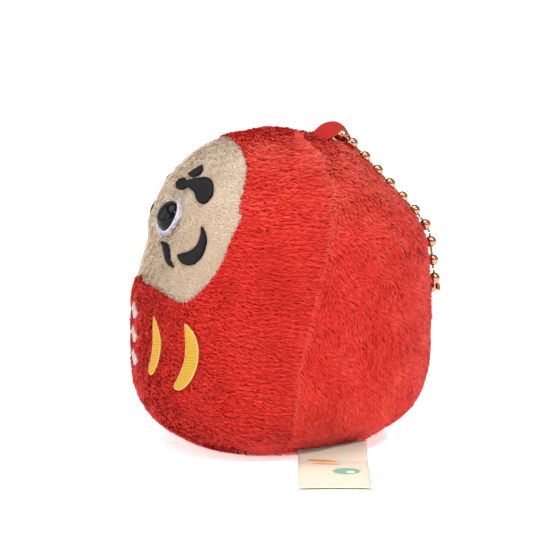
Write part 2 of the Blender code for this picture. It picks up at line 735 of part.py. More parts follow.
def run_place(y, z, angle):
    """Carries (across, down, out) into the doll for a run that starts at y, z."""
    a = radians(angle)
    down = Vector((0.0, cos(a), -sin(a)))
    out = Vector((0.0, sin(a), cos(a)))
    matrix = Matrix(((1.0, down.x, out.x), (0.0, down.y, out.y), (0.0, down.z, out.z)))
    matrix = matrix.to_4x4()
    matrix.translation = Vector((RIBBON_X, y, z))
    return matrix


def straight_strand(side):
    x = side * STRAND_HALF_SPACING
    return (lambda arc: Vector((x, arc))), (lambda arc: Vector((0.0, 1.0)))


def rest_angle(y, z, length, end_clear):
    """Steepest angle below level at which a straight run from y, z clears the back."""
    strands = []
    for side in (-1, 1):
        x = RIBBON_X + side * STRAND_HALF_SPACING
        heights = [BODY_HEIGHT * i / 240.0 for i in range(240)]
        strands.append((x, [(back_depth(x, h), h) for h in heights if abs(x) < half_width(h)]))
    for step in range(140):
        angle = radians(90.0 - 0.5 * step)
        clear = True
        for i in range(1, 13):
            reach = length * i / 12.0
            py, pz = y + reach * cos(angle), z - reach * sin(angle)
            need = (end_clear if i == 12 else BEAD_RADIUS) + CHAIN_CLEAR
            for x, profile in strands:
                inside = pz < BODY_HEIGHT and py < back_depth(x, pz)
                if inside or min(hypot(py - a, pz - b) for a, b in profile) < need:
                    clear = False
        if clear:
            return degrees(angle)
    return 20.0


def make_chain(materials):
    gold = materials["gold"]
    reach = (TOP_BEADS + 1) * BEAD_PITCH
    beads = [sign * (0.5 + i) * BEAD_PITCH for i in range(TOP_BEADS + 1) for sign in (-1, 1)]
    pivot_z = top_height(0.0, PIVOT_Y) + PIVOT_LIFT
    place = run_place(PIVOT_Y, pivot_z, rest_angle(PIVOT_Y, pivot_z, down_at(reach), BEAD_RADIUS))
    mesh = beaded_rod("chain_top", -reach + 0.5 * GAP, reach - 0.5 * GAP, sorted(beads),
                      bow_point, bow_tangent, place)
    add_object("chain_top", mesh, gold, 60, origin=place.translation)
    end = place @ Vector((0.0, down_at(reach), 0.0))
    for name, count in LOWER_RUNS:
        hinge, length = end, count * BEAD_PITCH
        place = run_place(end.y, end.z, rest_angle(end.y, end.z, length, BEAD_RADIUS))
        for side, word in ((1, "left"), (-1, "right")):
            point, tangent = straight_strand(side)
            mesh = beaded_rod(f"{name}_{word}", 0.5 * GAP, length - 0.5 * GAP,
                              [(0.5 + i) * BEAD_PITCH for i in range(count)],
                              point, tangent, place)
            add_object(f"{name}_{word}", mesh, gold, 60, origin=hinge)
        end = place @ Vector((0.0, length, 0.0))
    depth = down_at(2 * BEAD_PITCH)
    make_tail(gold, run_place(end.y, end.z, rest_angle(end.y, end.z, depth, CLASP_OUTER)))


def make_tail(gold, place):
    """The last two beads on each strand, turned inwards to meet in the clasp."""
    reach = 2 * BEAD_PITCH
    depth = down_at(reach)

    def point(arc):
        flat = bow_point(arc)
        return Vector((flat.x, depth - flat.y))

    def tangent(arc):
        flat = bow_tangent(arc)
        return Vector((flat.x, -flat.y))

    stub = 0.5 * BEAD_PITCH - BEAD_RADIUS - 0.0002
    for side, word in ((1, "left"), (-1, "right")):
        ends = sorted((side * stub, side * (reach - 0.5 * GAP)))
        beads = sorted(side * bead for bead in FIRST_BEADS)
        mesh = beaded_rod(f"chain_tail_{word}", ends[0], ends[1], beads, point, tangent, place)
        hinge = place @ Vector((side * STRAND_HALF_SPACING, 0.0, 0.0))
        add_object(f"chain_tail_{word}", mesh, gold, 60, origin=hinge)
    middle = place @ Vector((0.0, depth, 0.0))
    add_object("chain_clasp", clasp_mesh(place, depth), gold, 40, origin=middle)


def clasp_mesh(place, depth):
    """Sheet-metal trough across the loop, open on its lower side."""
    half_open = radians(0.5 * CLASP_OPEN_DEG)
    steps = 10
    section = []
    for radius, order in ((CLASP_OUTER, range(steps + 1)), (CLASP_INNER, range(steps, -1, -1))):
        for i in order:
            turn = half_open + (2 * pi - 2 * half_open) * i / steps
            section.append((depth + radius * cos(turn), radius * sin(turn)))
    count = len(section)
    verts = [place @ Vector((x, down, out))
             for x in (-CLASP_HALF_LENGTH, CLASP_HALF_LENGTH) for down, out in section]
    faces = [(i, (i + 1) % count, count + (i + 1) % count, count + i) for i in range(count)]
    for start in (0, count):
        for i in range(steps):
            inner = 2 * steps + 1 - i
            faces.append((start + i, start + i + 1, start + inner - 1, start + inner))
    return mesh_from("chain_clasp", verts, faces)


# ================================================================ label
def label_place():
    turn = radians(LABEL_TURN)
    matrix = Matrix.Rotation(turn, 4, 'Z')
    matrix.translation = Vector((LABEL_ROOT_X, LABEL_ROOT_Y, 0.0))
    return matrix


def make_label(materials, panels, stuffing):
    """Sewn-in tab that slopes down to the floor, and the two pages that lie flat on it."""
    place = label_place()
    half = 0.5 * LABEL_WIDTH
    tab_thick = 2 * PAGE_THICK + GAP
    low_z = PAGE_LIFT + 0.5 * tab_thick
    run = LABEL_FOLD + LABEL_SEWN
    slope = -atan2(LABEL_RISE - low_z, run)
    tilt = Matrix.Translation((LABEL_FOLD, 0.0, low_z)) @ Matrix.Rotation(-slope, 4, 'Y')
    length = hypot(run, LABEL_RISE - low_z)
    root = box_mesh("label_root", (-length, -half, -0.5 * tab_thick),
                    (-0.0001, half, 0.5 * tab_thick))
    root.transform(place @ tilt)
    lowest = min(v.co.z for v in root.vertices)
    root.transform(Matrix.Translation((0.0, 0.0, max(0.0, PAGE_LIFT - lowest))))
    add_object("label_root", root, materials["label_satin"])
    slot = box_cutter("cut_label_slot", (-length - GAP, -half - GAP, -0.5 * tab_thick - GAP),
                      (0.0, half + GAP, 0.5 * tab_thick + GAP), place @ tilt)
    for name in ("base_panel", "back_panel_left"):
        add_boolean(panels[name], slot, 'DIFFERENCE')
    add_boolean(stuffing, slot, 'DIFFERENCE')
    start = LABEL_FOLD + GAP
    for name, level, end in (("label_back_page", 0, LABEL_LENGTH),
                             ("label_front_page", 1, LABEL_LENGTH - LABEL_SHORTER)):
        bottom = PAGE_LIFT + level * (PAGE_THICK + GAP)
        page = box_mesh(name, (start, -half, bottom), (end, half, bottom + PAGE_THICK))
        page.transform(place)
        hinge = place @ Vector((LABEL_FOLD, 0.0, 0.0))
        add_object(name, page, materials["label_satin"], origin=hinge)


# ================================================================ build
def main():
    for obj in list(bpy.data.objects):
        bpy.data.objects.remove(obj, do_unlink=True)
    materials = make_materials()
    panels = make_panels(materials)
    stuffing = make_stuffing(materials)
    make_marks(materials)
    make_eyes(materials, panels, stuffing)
    make_ribbon(materials, panels, stuffing)
    make_chain(materials)
    make_label(materials, panels, stuffing)


main()
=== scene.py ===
"""Looks of a small plush daruma mascot on a ball chain, built round its packed frame.

The body is one stuffed skin, swelled by cloth simulation between its seams and then covered with
real pile.  The sewn marks, eyes, ribbon, chain and label are separate pieces on the same frame.
"""
import json
from math import asin, cos, hypot, pi, radians, sin, sqrt

import bmesh
import bpy
import numpy as np
from bpy.props import FloatProperty, FloatVectorProperty, IntProperty, PointerProperty
from mathutils import Matrix, Vector
from mathutils.bvhtree import BVHTree


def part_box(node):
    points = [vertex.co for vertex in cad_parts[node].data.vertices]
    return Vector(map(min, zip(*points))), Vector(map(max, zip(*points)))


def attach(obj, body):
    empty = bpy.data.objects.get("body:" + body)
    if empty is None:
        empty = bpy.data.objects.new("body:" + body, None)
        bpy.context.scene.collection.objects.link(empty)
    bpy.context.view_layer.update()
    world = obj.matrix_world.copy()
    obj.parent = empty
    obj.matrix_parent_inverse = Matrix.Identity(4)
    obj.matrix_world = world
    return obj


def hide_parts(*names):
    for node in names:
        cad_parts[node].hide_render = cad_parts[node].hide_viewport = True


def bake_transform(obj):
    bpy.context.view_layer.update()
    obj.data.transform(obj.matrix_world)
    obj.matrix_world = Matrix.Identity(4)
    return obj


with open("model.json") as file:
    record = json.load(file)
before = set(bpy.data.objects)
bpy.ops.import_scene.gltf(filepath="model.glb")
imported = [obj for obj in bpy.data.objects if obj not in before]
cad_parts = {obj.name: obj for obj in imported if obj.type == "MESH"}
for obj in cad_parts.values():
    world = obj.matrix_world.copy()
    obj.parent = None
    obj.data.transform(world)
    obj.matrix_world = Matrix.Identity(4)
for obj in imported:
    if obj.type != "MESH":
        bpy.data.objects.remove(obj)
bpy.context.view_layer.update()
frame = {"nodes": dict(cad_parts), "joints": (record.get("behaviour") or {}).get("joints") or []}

bl_info = {
    "name": "Plush daruma mascot",
    "version": (1, 0, 0),
    "blender": (4, 5, 0),
    "location": "3D View > Sidebar > Daruma",
    "description": "Builds the looks of a plush daruma mascot on a ball chain",
    "category": "Object",
}

MM = 0.001
GAP = 0.0003                    # left free where two bodies meet
FLOOR_GAP = 0.0003              # the skin's lowest point over the floor
WALL = 0.0007                   # thickness of a panel's cloth
MARK_SINK = 0.0002              # how far a sewn piece's back lies below the skin

# ---------------------------------------------------------------- sizes taken from the frame
BACK_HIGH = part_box("back_panel_left")[1]
HALF_WIDTH = BACK_HIGH.x
HALF_DEPTH = BACK_HIGH.y
HEIGHT = BACK_HIGH.z
BASE_SEAM_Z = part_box("base_panel")[1].z
JOINTS = {joint["name"]: joint for joint in frame["joints"]}

# ---------------------------------------------------------------- body shape, as in the frame
WAIST_TOP = 0.475 * HEIGHT
WAIST_BOTTOM = 0.283 * HEIGHT
BASE_DROP = 0.0015
BASE_POWER = 2.6
ROUND_POWER = 2.1
FACE_INSET = (0.0019, 0.631 * HEIGHT, 0.080 * HEIGHT)
BACK_SLOPE = (0.0030, 0.850 * HEIGHT, 0.086 * HEIGHT)
SHOULDER = (0.0012, 0.665 * HEIGHT, 0.055 * HEIGHT)
SIDE_SEAM = [(0.0, -0.0035), (0.30, -0.0030), (0.54, 0.0008), (0.77, 0.0045), (1.0, 0.0050)]
FACE_OUTLINE = [(0.0, 0.0638), (0.0060, 0.0634), (0.0118, 0.0620), (0.0168, 0.0591),
                (0.0205, 0.0552), (0.0227, 0.0505), (0.0236, 0.0450), (0.0238, 0.0400),
                (0.0228, 0.0355), (0.0202, 0.0326), (0.0172, 0.0329), (0.0136, 0.0339),
                (0.0090, 0.0346), (0.0045, 0.0349), (0.0, 0.0360)]

# ---------------------------------------------------------------- soft relief of the stuffed body
NOSE = (0.0011, 0.0465, 0.0050, 0.0021)        # rise, height, half width, half height
NOSE_CREASE = (0.0008, 0.0438, 0.0080, 0.0008)  # depth, height, half width, half height
# Extra stuffing over the plain surface: height over the body's height, and how far it stands out.
FRONT_FULLNESS = [(0.0, 0.0), (0.70, 0.0), (0.76, 0.0008), (0.82, 0.0014), (0.90, 0.0016),
                  (0.95, 0.0018), (1.0, 0.0007)]
BACK_FULLNESS = [(0.0, -0.0016), (0.06, -0.0016), (0.11, -0.0012), (0.19, -0.0007), (0.30, 0.0),
                 (0.60, -0.0002), (0.74, 0.0004), (0.88, 0.0012), (0.95, 0.0011), (1.0, 0.0007)]
RIBBON_VALLEY = (0.0032, 0.0080, 0.0062, 0.0045, 0.0028)  # depth, x, y, half length, half width
EYE_DIMPLE = (0.0009, 0.0042)                  # depth, half width

# ---------------------------------------------------------------- sewn marks, for the left side
# Satin columns: x and z on one edge, then x and z on the other, in millimetres.
BROW = [(6.1, 55.0, 6.3, 54.8), (6.4, 55.6, 7.5, 54.0), (7.9, 55.9, 9.6, 54.0),
        (9.2, 55.5, 10.5, 54.5), (10.7, 55.9, 12.3, 54.2), (12.2, 56.2, 14.1, 53.6),
        (13.8, 56.4, 15.5, 52.5), (15.5, 55.9, 16.6, 51.8), (16.9, 54.8, 17.5, 51.8),
        (17.9, 53.4, 17.9, 52.4)]
BROW_DASH = [(8.1, 56.9, 8.4, 56.6), (8.3, 57.4, 10.2, 56.5), (8.7, 58.0, 11.1, 56.9),
             (9.2, 58.4, 11.0, 57.6), (9.7, 58.5, 10.2, 58.3)]
CHEEK = [(18.9, 47.2, 18.8, 47.1), (19.7, 46.2, 19.2, 46.0), (20.4, 44.8, 19.3, 44.8),
         (20.6, 43.2, 19.1, 43.6), (20.4, 41.4, 18.5, 42.7), (19.5, 40.0, 17.5, 42.1),
         (18.2, 39.7, 16.6, 41.8), (16.7, 40.2, 15.9, 41.5), (15.6, 41.2, 15.5, 41.4)]
MOUSTACHE = [(8.6, 43.5, 8.8, 43.5), (9.8, 42.4, 11.1, 43.1), (11.0, 41.2, 12.4, 41.8),
             (12.3, 40.0, 13.2, 40.5), (13.7, 39.2, 14.1, 39.8), (15.2, 38.9, 15.2, 39.0)]
STRIPE_INNER = [(12.7, 28.8, 12.6, 28.8), (13.9, 27.1, 12.5, 26.9), (14.8, 24.8, 12.5, 24.5),
                (14.8, 22.4, 12.3, 22.0), (14.0, 19.6, 11.3, 19.4), (12.5, 17.5, 10.7, 17.8),
                (11.5, 16.8, 10.8, 17.1)]
STRIPE_OUTER = [(21.0, 28.4, 20.9, 28.3), (22.4, 26.9, 21.1, 26.4), (23.2, 24.5, 21.2, 24.1),
                (23.3, 22.3, 21.1, 21.8), (23.0, 20.0, 20.7, 19.9), (22.2, 17.7, 19.8, 17.7),
                (20.9, 15.9, 18.8, 16.1), (19.5, 15.0, 18.4, 15.4), (18.7, 15.0, 18.5, 15.1)]
CHEST_HALF = (0.0042, 0.0022)
CHEST_TOP_Z = 0.0286
CHEST_STEP = 0.0049
LOZENGES = 3

# ---------------------------------------------------------------- eyes
EYE_X = 0.0088
EYE_Z = 0.0485
EYE_RADIUS = 0.0032
EYE_DOME = 0.0024
EYE_WHITE_RADIUS = 0.0042
EYE_SEAT = {1: 0.0002, -1: -0.0008}   # each dome's flat back, above the body surface
FELT_BORE = 0.0014

# ---------------------------------------------------------------- ribbon
RIBBON_X = 0.0010
RIBBON_WIDTH = 0.0060
# Middle line of the loop, from its lower root round the bow to its upper root: Y, and height
# above the head there.
RIBBON_LOOP = [(0.0052, -0.0034), (0.0056, -0.0018), (0.0072, -0.0003), (0.0094, 0.0004),
               (0.0117, 0.0006), (0.0136, 0.0016), (0.0148, 0.0034), (0.0142, 0.0049),
               (0.0122, 0.0045), (0.0098, 0.0027), (0.0076, 0.0002), (0.0061, -0.0020),
               (0.0053, -0.0042)]

# ---------------------------------------------------------------- ball chain
BEAD_RADIUS = 0.0012
BEAD_PITCH = 0.0039
WIRE_RADIUS = 0.00025
CLASP_BORE = BEAD_RADIUS + 0.0002
CLASP_SHEET = 0.00022
STRAND_HALF_SPACING = 0.0045
BOW_RADIUS = 0.0019
TOP_BEADS = 6
CLASP_HALF_LENGTH = 0.0034

# ---------------------------------------------------------------- label
LABEL_TURN = radians(-12.0)
LABEL_WIDTH = 0.0140
LABEL_FOLD = 0.0055             # where a page reaches the floor, out from the seam
PAGE_STEP = 0.00030             # height from one page to the next
LABEL_ROOT = Vector((0.724 * HALF_DEPTH, 0.210 * HALF_DEPTH, 0.0))


# ================================================================ settings a user would change
class DarumaPlush(bpy.types.PropertyGroup):
    """Body skin and pile"""
    pressure: FloatProperty(name="Stuffing pressure", default=45.0, min=0.0,
                            description="How hard the filling pushes the skin out between seams")
    most_swell: FloatProperty(name="Most swell", default=0.0011, unit='LENGTH',
                              description="Furthest that the skin may move from its pattern")
    seam_depth: FloatProperty(name="Seam depth", default=0.0007, unit='LENGTH',
                              description="How far a seam is drawn in")
    pile_length: FloatProperty(name="Pile length", default=0.00135, unit='LENGTH',
                               description="Length of the red pile")
    face_pile_length: FloatProperty(name="Face pile length", default=0.0008, unit='LENGTH',
                                    description="Length of the cream pile")
    pile_depth: FloatProperty(name="Pile depth", default=0.0007, unit='LENGTH',
                              description="Depth of the layer in which the tufts start")
    pile_width: FloatProperty(name="Tuft width", default=0.00018, unit='LENGTH',
                              description="Width of one tuft at its root")
    pile_lean: FloatProperty(name="Pile lean", default=radians(21.0), subtype='ANGLE',
                             description="Angle between the pile and the cloth")
    tufts_per_mm2: FloatProperty(name="Tufts per square mm", default=20.0, min=0.5,
                                 description="How densely the pile is set")
    rib_pitch: FloatProperty(name="Rib pitch", default=0.00098, unit='LENGTH',
                             description="Distance between the rows of pile on the front")
    seed: IntProperty(name="Seed", default=7, description="Seed of the pile's scatter")
    # Darkest red: the darkest tufts and the front's painted shade, and the ground cloth between the
    # tufts, darkened there as painted shade in the pile's hollows.
    red_dark: FloatVectorProperty(name="Red in the hollows", subtype='COLOR', size=3,
                                  default=(0.50, 0.014, 0.010),
                                  description="Darkest tone of the red pile")
    red: FloatVectorProperty(name="Red", subtype='COLOR', size=3, default=(0.76, 0.034, 0.022),
                             description="Middle tone of the red pile")
    # Lightest red: the lightest tufts, the painted light on the top of the head, the painted
    # highlight along the seams, and the sheen's tint.
    red_light: FloatVectorProperty(name="Red at the tips", subtype='COLOR', size=3,
                                   default=(0.88, 0.135, 0.090),
                                   description="Lightest tone of the red pile")
    # Darkest cream: the darkest tufts and the face's painted shade, and the ground cloth between
    # the tufts, darkened there as painted shade in the pile's hollows.
    cream_dark: FloatVectorProperty(name="Cream in the hollows", subtype='COLOR', size=3,
                                    default=(0.60, 0.46, 0.33),
                                    description="Darkest tone of the cream pile")
    cream: FloatVectorProperty(name="Cream", subtype='COLOR', size=3,
                               default=(0.72, 0.585, 0.45),
                               description="Middle tone of the cream pile")
    # Lightest cream: the lightest tufts, the painted light on the upper face, and the sheen's tint.
    cream_light: FloatVectorProperty(name="Cream at the tips", subtype='COLOR', size=3,
                                     default=(0.88, 0.82, 0.74),
                                     description="Lightest tone of the cream pile")


class DarumaTrims(bpy.types.PropertyGroup):
    """Marks, eyes, ribbon, chain and label"""
    thread_pitch: FloatProperty(name="Thread pitch", default=0.00034, unit='LENGTH',
                                description="Distance between two stitches of a mark")
    mark_height: FloatProperty(name="Mark height", default=0.00085, unit='LENGTH',
                               description="Height of the stitching over the cloth")
    ribbon_thickness: FloatProperty(name="Ribbon thickness", default=0.00032, unit='LENGTH',
                                    description="Thickness of the satin ribbon")
    page_thickness: FloatProperty(name="Page thickness", default=0.00018, unit='LENGTH',
                                  description="Thickness of one page of the label")
    black: FloatVectorProperty(name="Black thread", subtype='COLOR', size=3,
                               default=(0.0065, 0.0055, 0.006), description="Colour of the face")
    yellow: FloatVectorProperty(name="Yellow thread", subtype='COLOR', size=3,
                                default=(0.60, 0.35, 0.030), description="Colour of the stripes")
    yellow_edge: FloatVectorProperty(name="Yellow edge", subtype='COLOR', size=3,
                                     default=(0.85, 0.54, 0.18),
                                     description="Colour of the stripes' edge")
    white: FloatVectorProperty(name="White thread", subtype='COLOR', size=3,
                               default=(0.66, 0.60, 0.54), description="Colour of the lozenges")
    felt: FloatVectorProperty(name="Felt", subtype='COLOR', size=3, default=(0.74, 0.70, 0.78),
                              description="Colour of the rings behind the eyes")
    ribbon: FloatVectorProperty(name="Ribbon", subtype='COLOR', size=3,
                                default=(0.42, 0.012, 0.008), description="Colour of the ribbon")
    gold: FloatVectorProperty(name="Gold", subtype='COLOR', size=3, default=(0.56, 0.285, 0.165),
                              description="Colour of the chain's plating")
    label: FloatVectorProperty(name="Label", subtype='COLOR', size=3,
                               default=(0.90, 0.84, 0.68), description="Colour of the label")


class DarumaStage(bpy.types.PropertyGroup):
    """Camera, floor and lights"""
    distance: FloatProperty(name="Camera distance", default=0.430, unit='LENGTH',
                            description="From the camera to the middle of the doll")
    azimuth: FloatProperty(name="Azimuth", default=radians(78.5), subtype='ANGLE',
                           description="0 looks along +Y")
    elevation: FloatProperty(name="Elevation", default=radians(7.0), subtype='ANGLE',
                             description="Height of the camera over the horizon")
    lens: FloatProperty(name="Focal length", default=134.0,
                        description="Focal length in millimetres")
    key: FloatProperty(name="Key light", default=2.2, description="Power of the key light")
    fill: FloatProperty(name="Fill light", default=1.2, description="Power of the fill light")
    overhead: FloatProperty(name="Overhead light", default=1.75,
                            description="Strength of the soft light from above")
    sky: FloatProperty(name="Sky", default=0.5, description="Strength of the world's light")


# ================================================================ body surface
def bump(z, amount):
    """Smooth swell at heights z; amount is its size, its height and its spread."""
    size, middle, spread = amount
    return size * np.exp(-((z - middle) / spread) ** 2)


def round_radius(z):
    """Half depth of the plain turned body at heights z."""
    z = np.asarray(z, float)
    rise = np.clip((z - WAIST_TOP) / (HEIGHT - WAIST_TOP), 0.0, 1.0)
    fall = np.clip((WAIST_BOTTOM - z) / (WAIST_BOTTOM + BASE_DROP), 0.0, 1.0)
    dome = HALF_DEPTH * np.sqrt(1.0 - rise * rise)
    foot = HALF_DEPTH * (1.0 - fall ** BASE_POWER) ** (1.0 / BASE_POWER)
    return np.minimum(dome, foot)


def half_width(z):
    """Half width of the body at heights z."""
    return round_radius(z) * HALF_WIDTH / HALF_DEPTH


def half_depth(z, front):
    """How far the body reaches forward or back of its middle at heights z."""
    radius = round_radius(z)
    fade = np.minimum(1.0, radius / (0.4 * HALF_DEPTH))
    forward = radius - bump(z, FACE_INSET) * fade
    backward = radius + (bump(z, SHOULDER) - bump(z, BACK_SLOPE)) * fade
    return np.where(front, forward, backward)


def ring_points(angle, z):
    """Points of the body surface; angle runs from +X towards +Y."""
    c, s = np.cos(angle), np.sin(angle)
    power = 2.0 / ROUND_POWER
    x = half_width(z) * np.abs(c) ** power * np.sign(c)
    y = half_depth(z, s < 0) * np.abs(s) ** power * np.sign(s)
    return np.stack((x, y, z + 0.0 * x), axis=-1)


def front_y(x, z):
    """Y of the plain front surface."""
    across = np.minimum(0.999, np.abs(x) / half_width(z))
    return -half_depth(z, True) * (1.0 - across ** ROUND_POWER) ** (1.0 / ROUND_POWER)


def front_normal(x, z):
    """Outward direction of the plain front surface."""
    step = 0.0003
    along_x = Vector((2 * step, float(front_y(x + step, z) - front_y(x - step, z)), 0.0))
    along_z = Vector((0.0, float(front_y(x, z + step) - front_y(x, z - step)), 2 * step))
    return along_x.cross(along_z).normalized()


def back_depth(x, z):
    """Y of the plain back surface."""
    across = min(1.0, abs(x) / max(1e-6, float(half_width(z))))
    return float(half_depth(z, False)) * (1.0 - across ** ROUND_POWER) ** (1.0 / ROUND_POWER)


def top_height(x, y):
    """Height of the back of the head over a given x and y."""
    low, high = WAIST_TOP, HEIGHT
    for _ in range(40):
        middle = 0.5 * (low + high)
        if abs(x) < half_width(middle) and back_depth(x, middle) > y:
            low = middle
        else:
            high = middle
    return low


def smooth_curve(points, steps):
    """Catmull-Rom curve through tuples of any length, ends included."""
    out = []
    count = len(points)
    for i in range(count - 1):
        p0, p1, p2 = points[max(0, i - 1)], points[i], points[i + 1]
        p3 = points[min(count - 1, i + 2)]
        for k in range(steps):
            t = k / steps
            out.append(tuple(
                0.5 * (2 * b + (c - a) * t + (2 * a - 5 * b + 4 * c - d) * t * t
                       + (3 * b - a - 3 * c + d) * t ** 3)
                for a, b, c, d in zip(p0, p1, p2, p3)))
    out.append(tuple(points[-1]))
    return out


SEAM_LINE = np.array(smooth_curve(SIDE_SEAM, 8))
FACE_HALF = smooth_curve(FACE_OUTLINE, 4)
FACE_RING = np.array(FACE_HALF + [(-x, z) for x, z in reversed(FACE_HALF[1:-1])])


def seam_y(z):
    """Y of the side seam at heights z."""
    return np.interp(z, SEAM_LINE[:, 0] * HEIGHT, SEAM_LINE[:, 1])


def in_face(points):
    """True for points inside the face window."""
    x, z = points[:, 0], points[:, 2]
    inside = np.zeros(len(points), bool)
    for (ax, az), (bx, bz) in zip(FACE_RING, np.roll(FACE_RING, -1, axis=0)):
        if az != bz:
            crosses = (az > z) != (bz > z)
            inside ^= crosses & (x < (bx - ax) * (z - az) / (bz - az) + ax)
    return inside & (points[:, 1] < 0.0)


PANELS = ["face_panel", "front_panel", "back_panel_left", "back_panel_right", "base_panel"]


def panel_of(points):
    """Index into PANELS for each point of the skin."""
    ahead = points[:, 1] < seam_y(points[:, 2])
    panel = np.where(ahead, 1, np.where(points[:, 0] > 0.0, 2, 3))
    panel = np.where(in_face(points), 0, panel)
    return np.where(points[:, 2] < BASE_SEAM_Z, 4, panel)


def distance_to_loop(points, loop, chunk=4000):
    """Distance from each point to the nearest point of a loop."""
    out = np.empty(len(points))
    for start in range(0, len(points), chunk):
        part = points[start:start + chunk, None, :] - loop[None, :, :]
        out[start:start + chunk] = np.sqrt((part ** 2).sum(-1).min(1))
    return out


def face_loop():
    """The face panel's outline on the body surface."""
    x, z = FACE_RING[:, 0], FACE_RING[:, 1]
    return np.stack((x, front_y(x, z), z), axis=-1)


def seam_distance(points):
    """(distance to the nearest red seam, distance to the face's edge) for each point."""
    x, y, z = points.T
    side = np.abs(y - seam_y(z))
    back = np.where(y > seam_y(z), np.abs(x), 1.0)
    radius = np.hypot(x * HALF_DEPTH / HALF_WIDTH, y)
    base = np.hypot(z - BASE_SEAM_Z, radius - round_radius(BASE_SEAM_Z))
    low = z < BASE_SEAM_Z
    side, back = np.where(low, 1.0, side), np.where(low, 1.0, back)
    return np.minimum(np.minimum(side, back), base), distance_to_loop(points, face_loop())


# ================================================================ mesh helpers
def deselect_all():
    """The selection operators need a 3D view; this doesn't."""
    for obj in list(bpy.context.selected_objects):
        obj.select_set(False)


def make_active(obj):
    deselect_all()
    bpy.context.view_layer.objects.active = obj
    obj.select_set(True)


def add_mesh(name, verts, faces):
    """A smooth-shaded mesh in the scene."""
    mesh = bpy.data.meshes.new(name)
    mesh.from_pydata([tuple(v) for v in verts], [], [tuple(f) for f in faces])
    mesh.shade_smooth()
    obj = bpy.data.objects.new(name, mesh)
    bpy.context.scene.collection.objects.link(obj)
    return obj


def recalculate(obj):
    bm = bmesh.new()
    bm.from_mesh(obj.data)
    bmesh.ops.recalc_face_normals(bm, faces=bm.faces)
    bm.to_mesh(obj.data)
    bm.free()


def apply_modifiers(obj):
    make_active(obj)
    for modifier in list(obj.modifiers):
        bpy.ops.object.modifier_apply(modifier=modifier.name)


def settle(obj):
    """Puts a finished piece's place into its mesh."""
    make_active(obj)
    bpy.ops.object.transform_apply(location=True, rotation=True, scale=True)
    return obj


def join(name, objects):
    make_active(objects[0])
    for obj in objects:
        obj.select_set(True)
    bpy.ops.object.join()
    objects[0].name = name
    objects[0].data.name = name
    return objects[0]


def copy_at(obj, matrix):
    """A copy with its place in its mesh."""
    made = obj.copy()
    made.data = obj.data.copy()
    made.data.transform(matrix)
    bpy.context.scene.collection.objects.link(made)
    return made


def give(obj, material, body, slot, *nodes):
    """A finished piece gets its material, its body and the nodes it stands for; slot is not used.
    """
    if material is not None:
        obj.data.materials.clear()
        obj.data.materials.append(material)
    if body is not None:
        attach(obj, body)
    if nodes:
        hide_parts(*nodes)
    return obj


# ================================================================ materials
LOOKS = "daruma_"      # keeps these materials apart from the frame's own plain ones


def new_material(name, colour, roughness, **plain):
    material = bpy.data.materials.new(LOOKS + name)
    material.use_nodes = True
    shader = material.node_tree.nodes["Principled BSDF"]
    shader.inputs["Base Color"].default_value = (*colour, 1.0)
    shader.inputs["Roughness"].default_value = roughness
    for socket, value in plain.items():
        shader.inputs[socket.replace("_", " ")].default_value = value
    return material, material.node_tree, shader


def node(tree, kind, **values):
    made = tree.nodes.new(kind)
    for key, value in values.items():
        if key in made.inputs:
            made.inputs[key].default_value = value
        else:
            setattr(made, key, value)
    return made


def mix_colours(tree, factor, first, second, blend='MIX'):
    made = tree.nodes.new("ShaderNodeMix")
    made.data_type = 'RGBA'
    made.blend_type = blend
    for socket, value in ((0, factor), (6, first), (7, second)):
        if isinstance(value, bpy.types.NodeSocket):
            tree.links.new(value, made.inputs[socket])
        elif socket == 0:
            made.inputs[socket].default_value = value
        else:
            made.inputs[socket].default_value = (*value, 1.0)
    return made.outputs[2]


def ramp(tree, source, stops):
    """Colours along a value from 0 to 1."""
    made = tree.nodes.new("ShaderNodeValToRGB")
    elements = made.color_ramp.elements
    while len(elements) < len(stops):
        elements.new(0.5)
    for element, (place, colour) in zip(elements, stops):
        element.position = place
        element.color = (*colour, 1.0)
    tree.links.new(source, made.inputs["Fac"])
    return made.outputs["Color"]


def object_noise(tree, scale, detail=3.0, rough=0.5):
    """Noise fixed to the piece; scale is per metre."""
    place = tree.nodes.new("ShaderNodeTexCoord").outputs["Object"]
    noise = node(tree, "ShaderNodeTexNoise", Scale=scale, Detail=detail, Roughness=rough)
    tree.links.new(place, noise.inputs["Vector"])
    return noise.outputs["Fac"]


def add_bump(tree, shader, height, strength, distance):
    made = node(tree, "ShaderNodeBump", Strength=strength, Distance=distance)
    tree.links.new(height, made.inputs["Height"])
    tree.links.new(made.outputs["Normal"], shader.inputs["Normal"])


def pile_material(name, dark, middle, light, roughness=0.88):
    """Pile: the map's first coordinate is a tuft's tone, the second runs from root to tip and
    darkens the root as painted shade.
    """
    material, tree, shader = new_material(name, middle, roughness, Sheen_Weight=0.10,
                                          Sheen_Roughness=0.6, Specular_IOR_Level=0.12)
    shader.inputs["Sheen Tint"].default_value = (*[0.5 + 0.5 * c for c in light], 1.0)
    place = node(tree, "ShaderNodeUVMap", uv_map="OFBake")
    split = tree.nodes.new("ShaderNodeSeparateXYZ")
    tree.links.new(place.outputs["UV"], split.inputs["Vector"])
    tone = ramp(tree, split.outputs["X"], [(0.0, dark), (0.5, middle), (1.0, light)])
    # Painted shade: each tuft darker towards its root, where the pile shades itself.
    shade = ramp(tree, split.outputs["Y"], [(0.0, (0.84, 0.81, 0.81)), (0.45, (0.95, 0.94, 0.94)),
                                            (1.0, (1.0, 1.0, 1.0))])
    tree.links.new(mix_colours(tree, 1.0, tone, shade, 'MULTIPLY'), shader.inputs["Base Color"])
    return material


def cloth_material(name, dark, middle):
    """Knitted ground under the pile."""
    material, tree, shader = new_material(name, middle, 0.95, Specular_IOR_Level=0.1)
    patch = object_noise(tree, 900.0)
    tone = ramp(tree, patch, [(0.3, dark), (0.7, middle)])
    tree.links.new(tone, shader.inputs["Base Color"])
    add_bump(tree, shader, object_noise(tree, 4200.0, 2.0), 0.6, 0.0002)
    return material


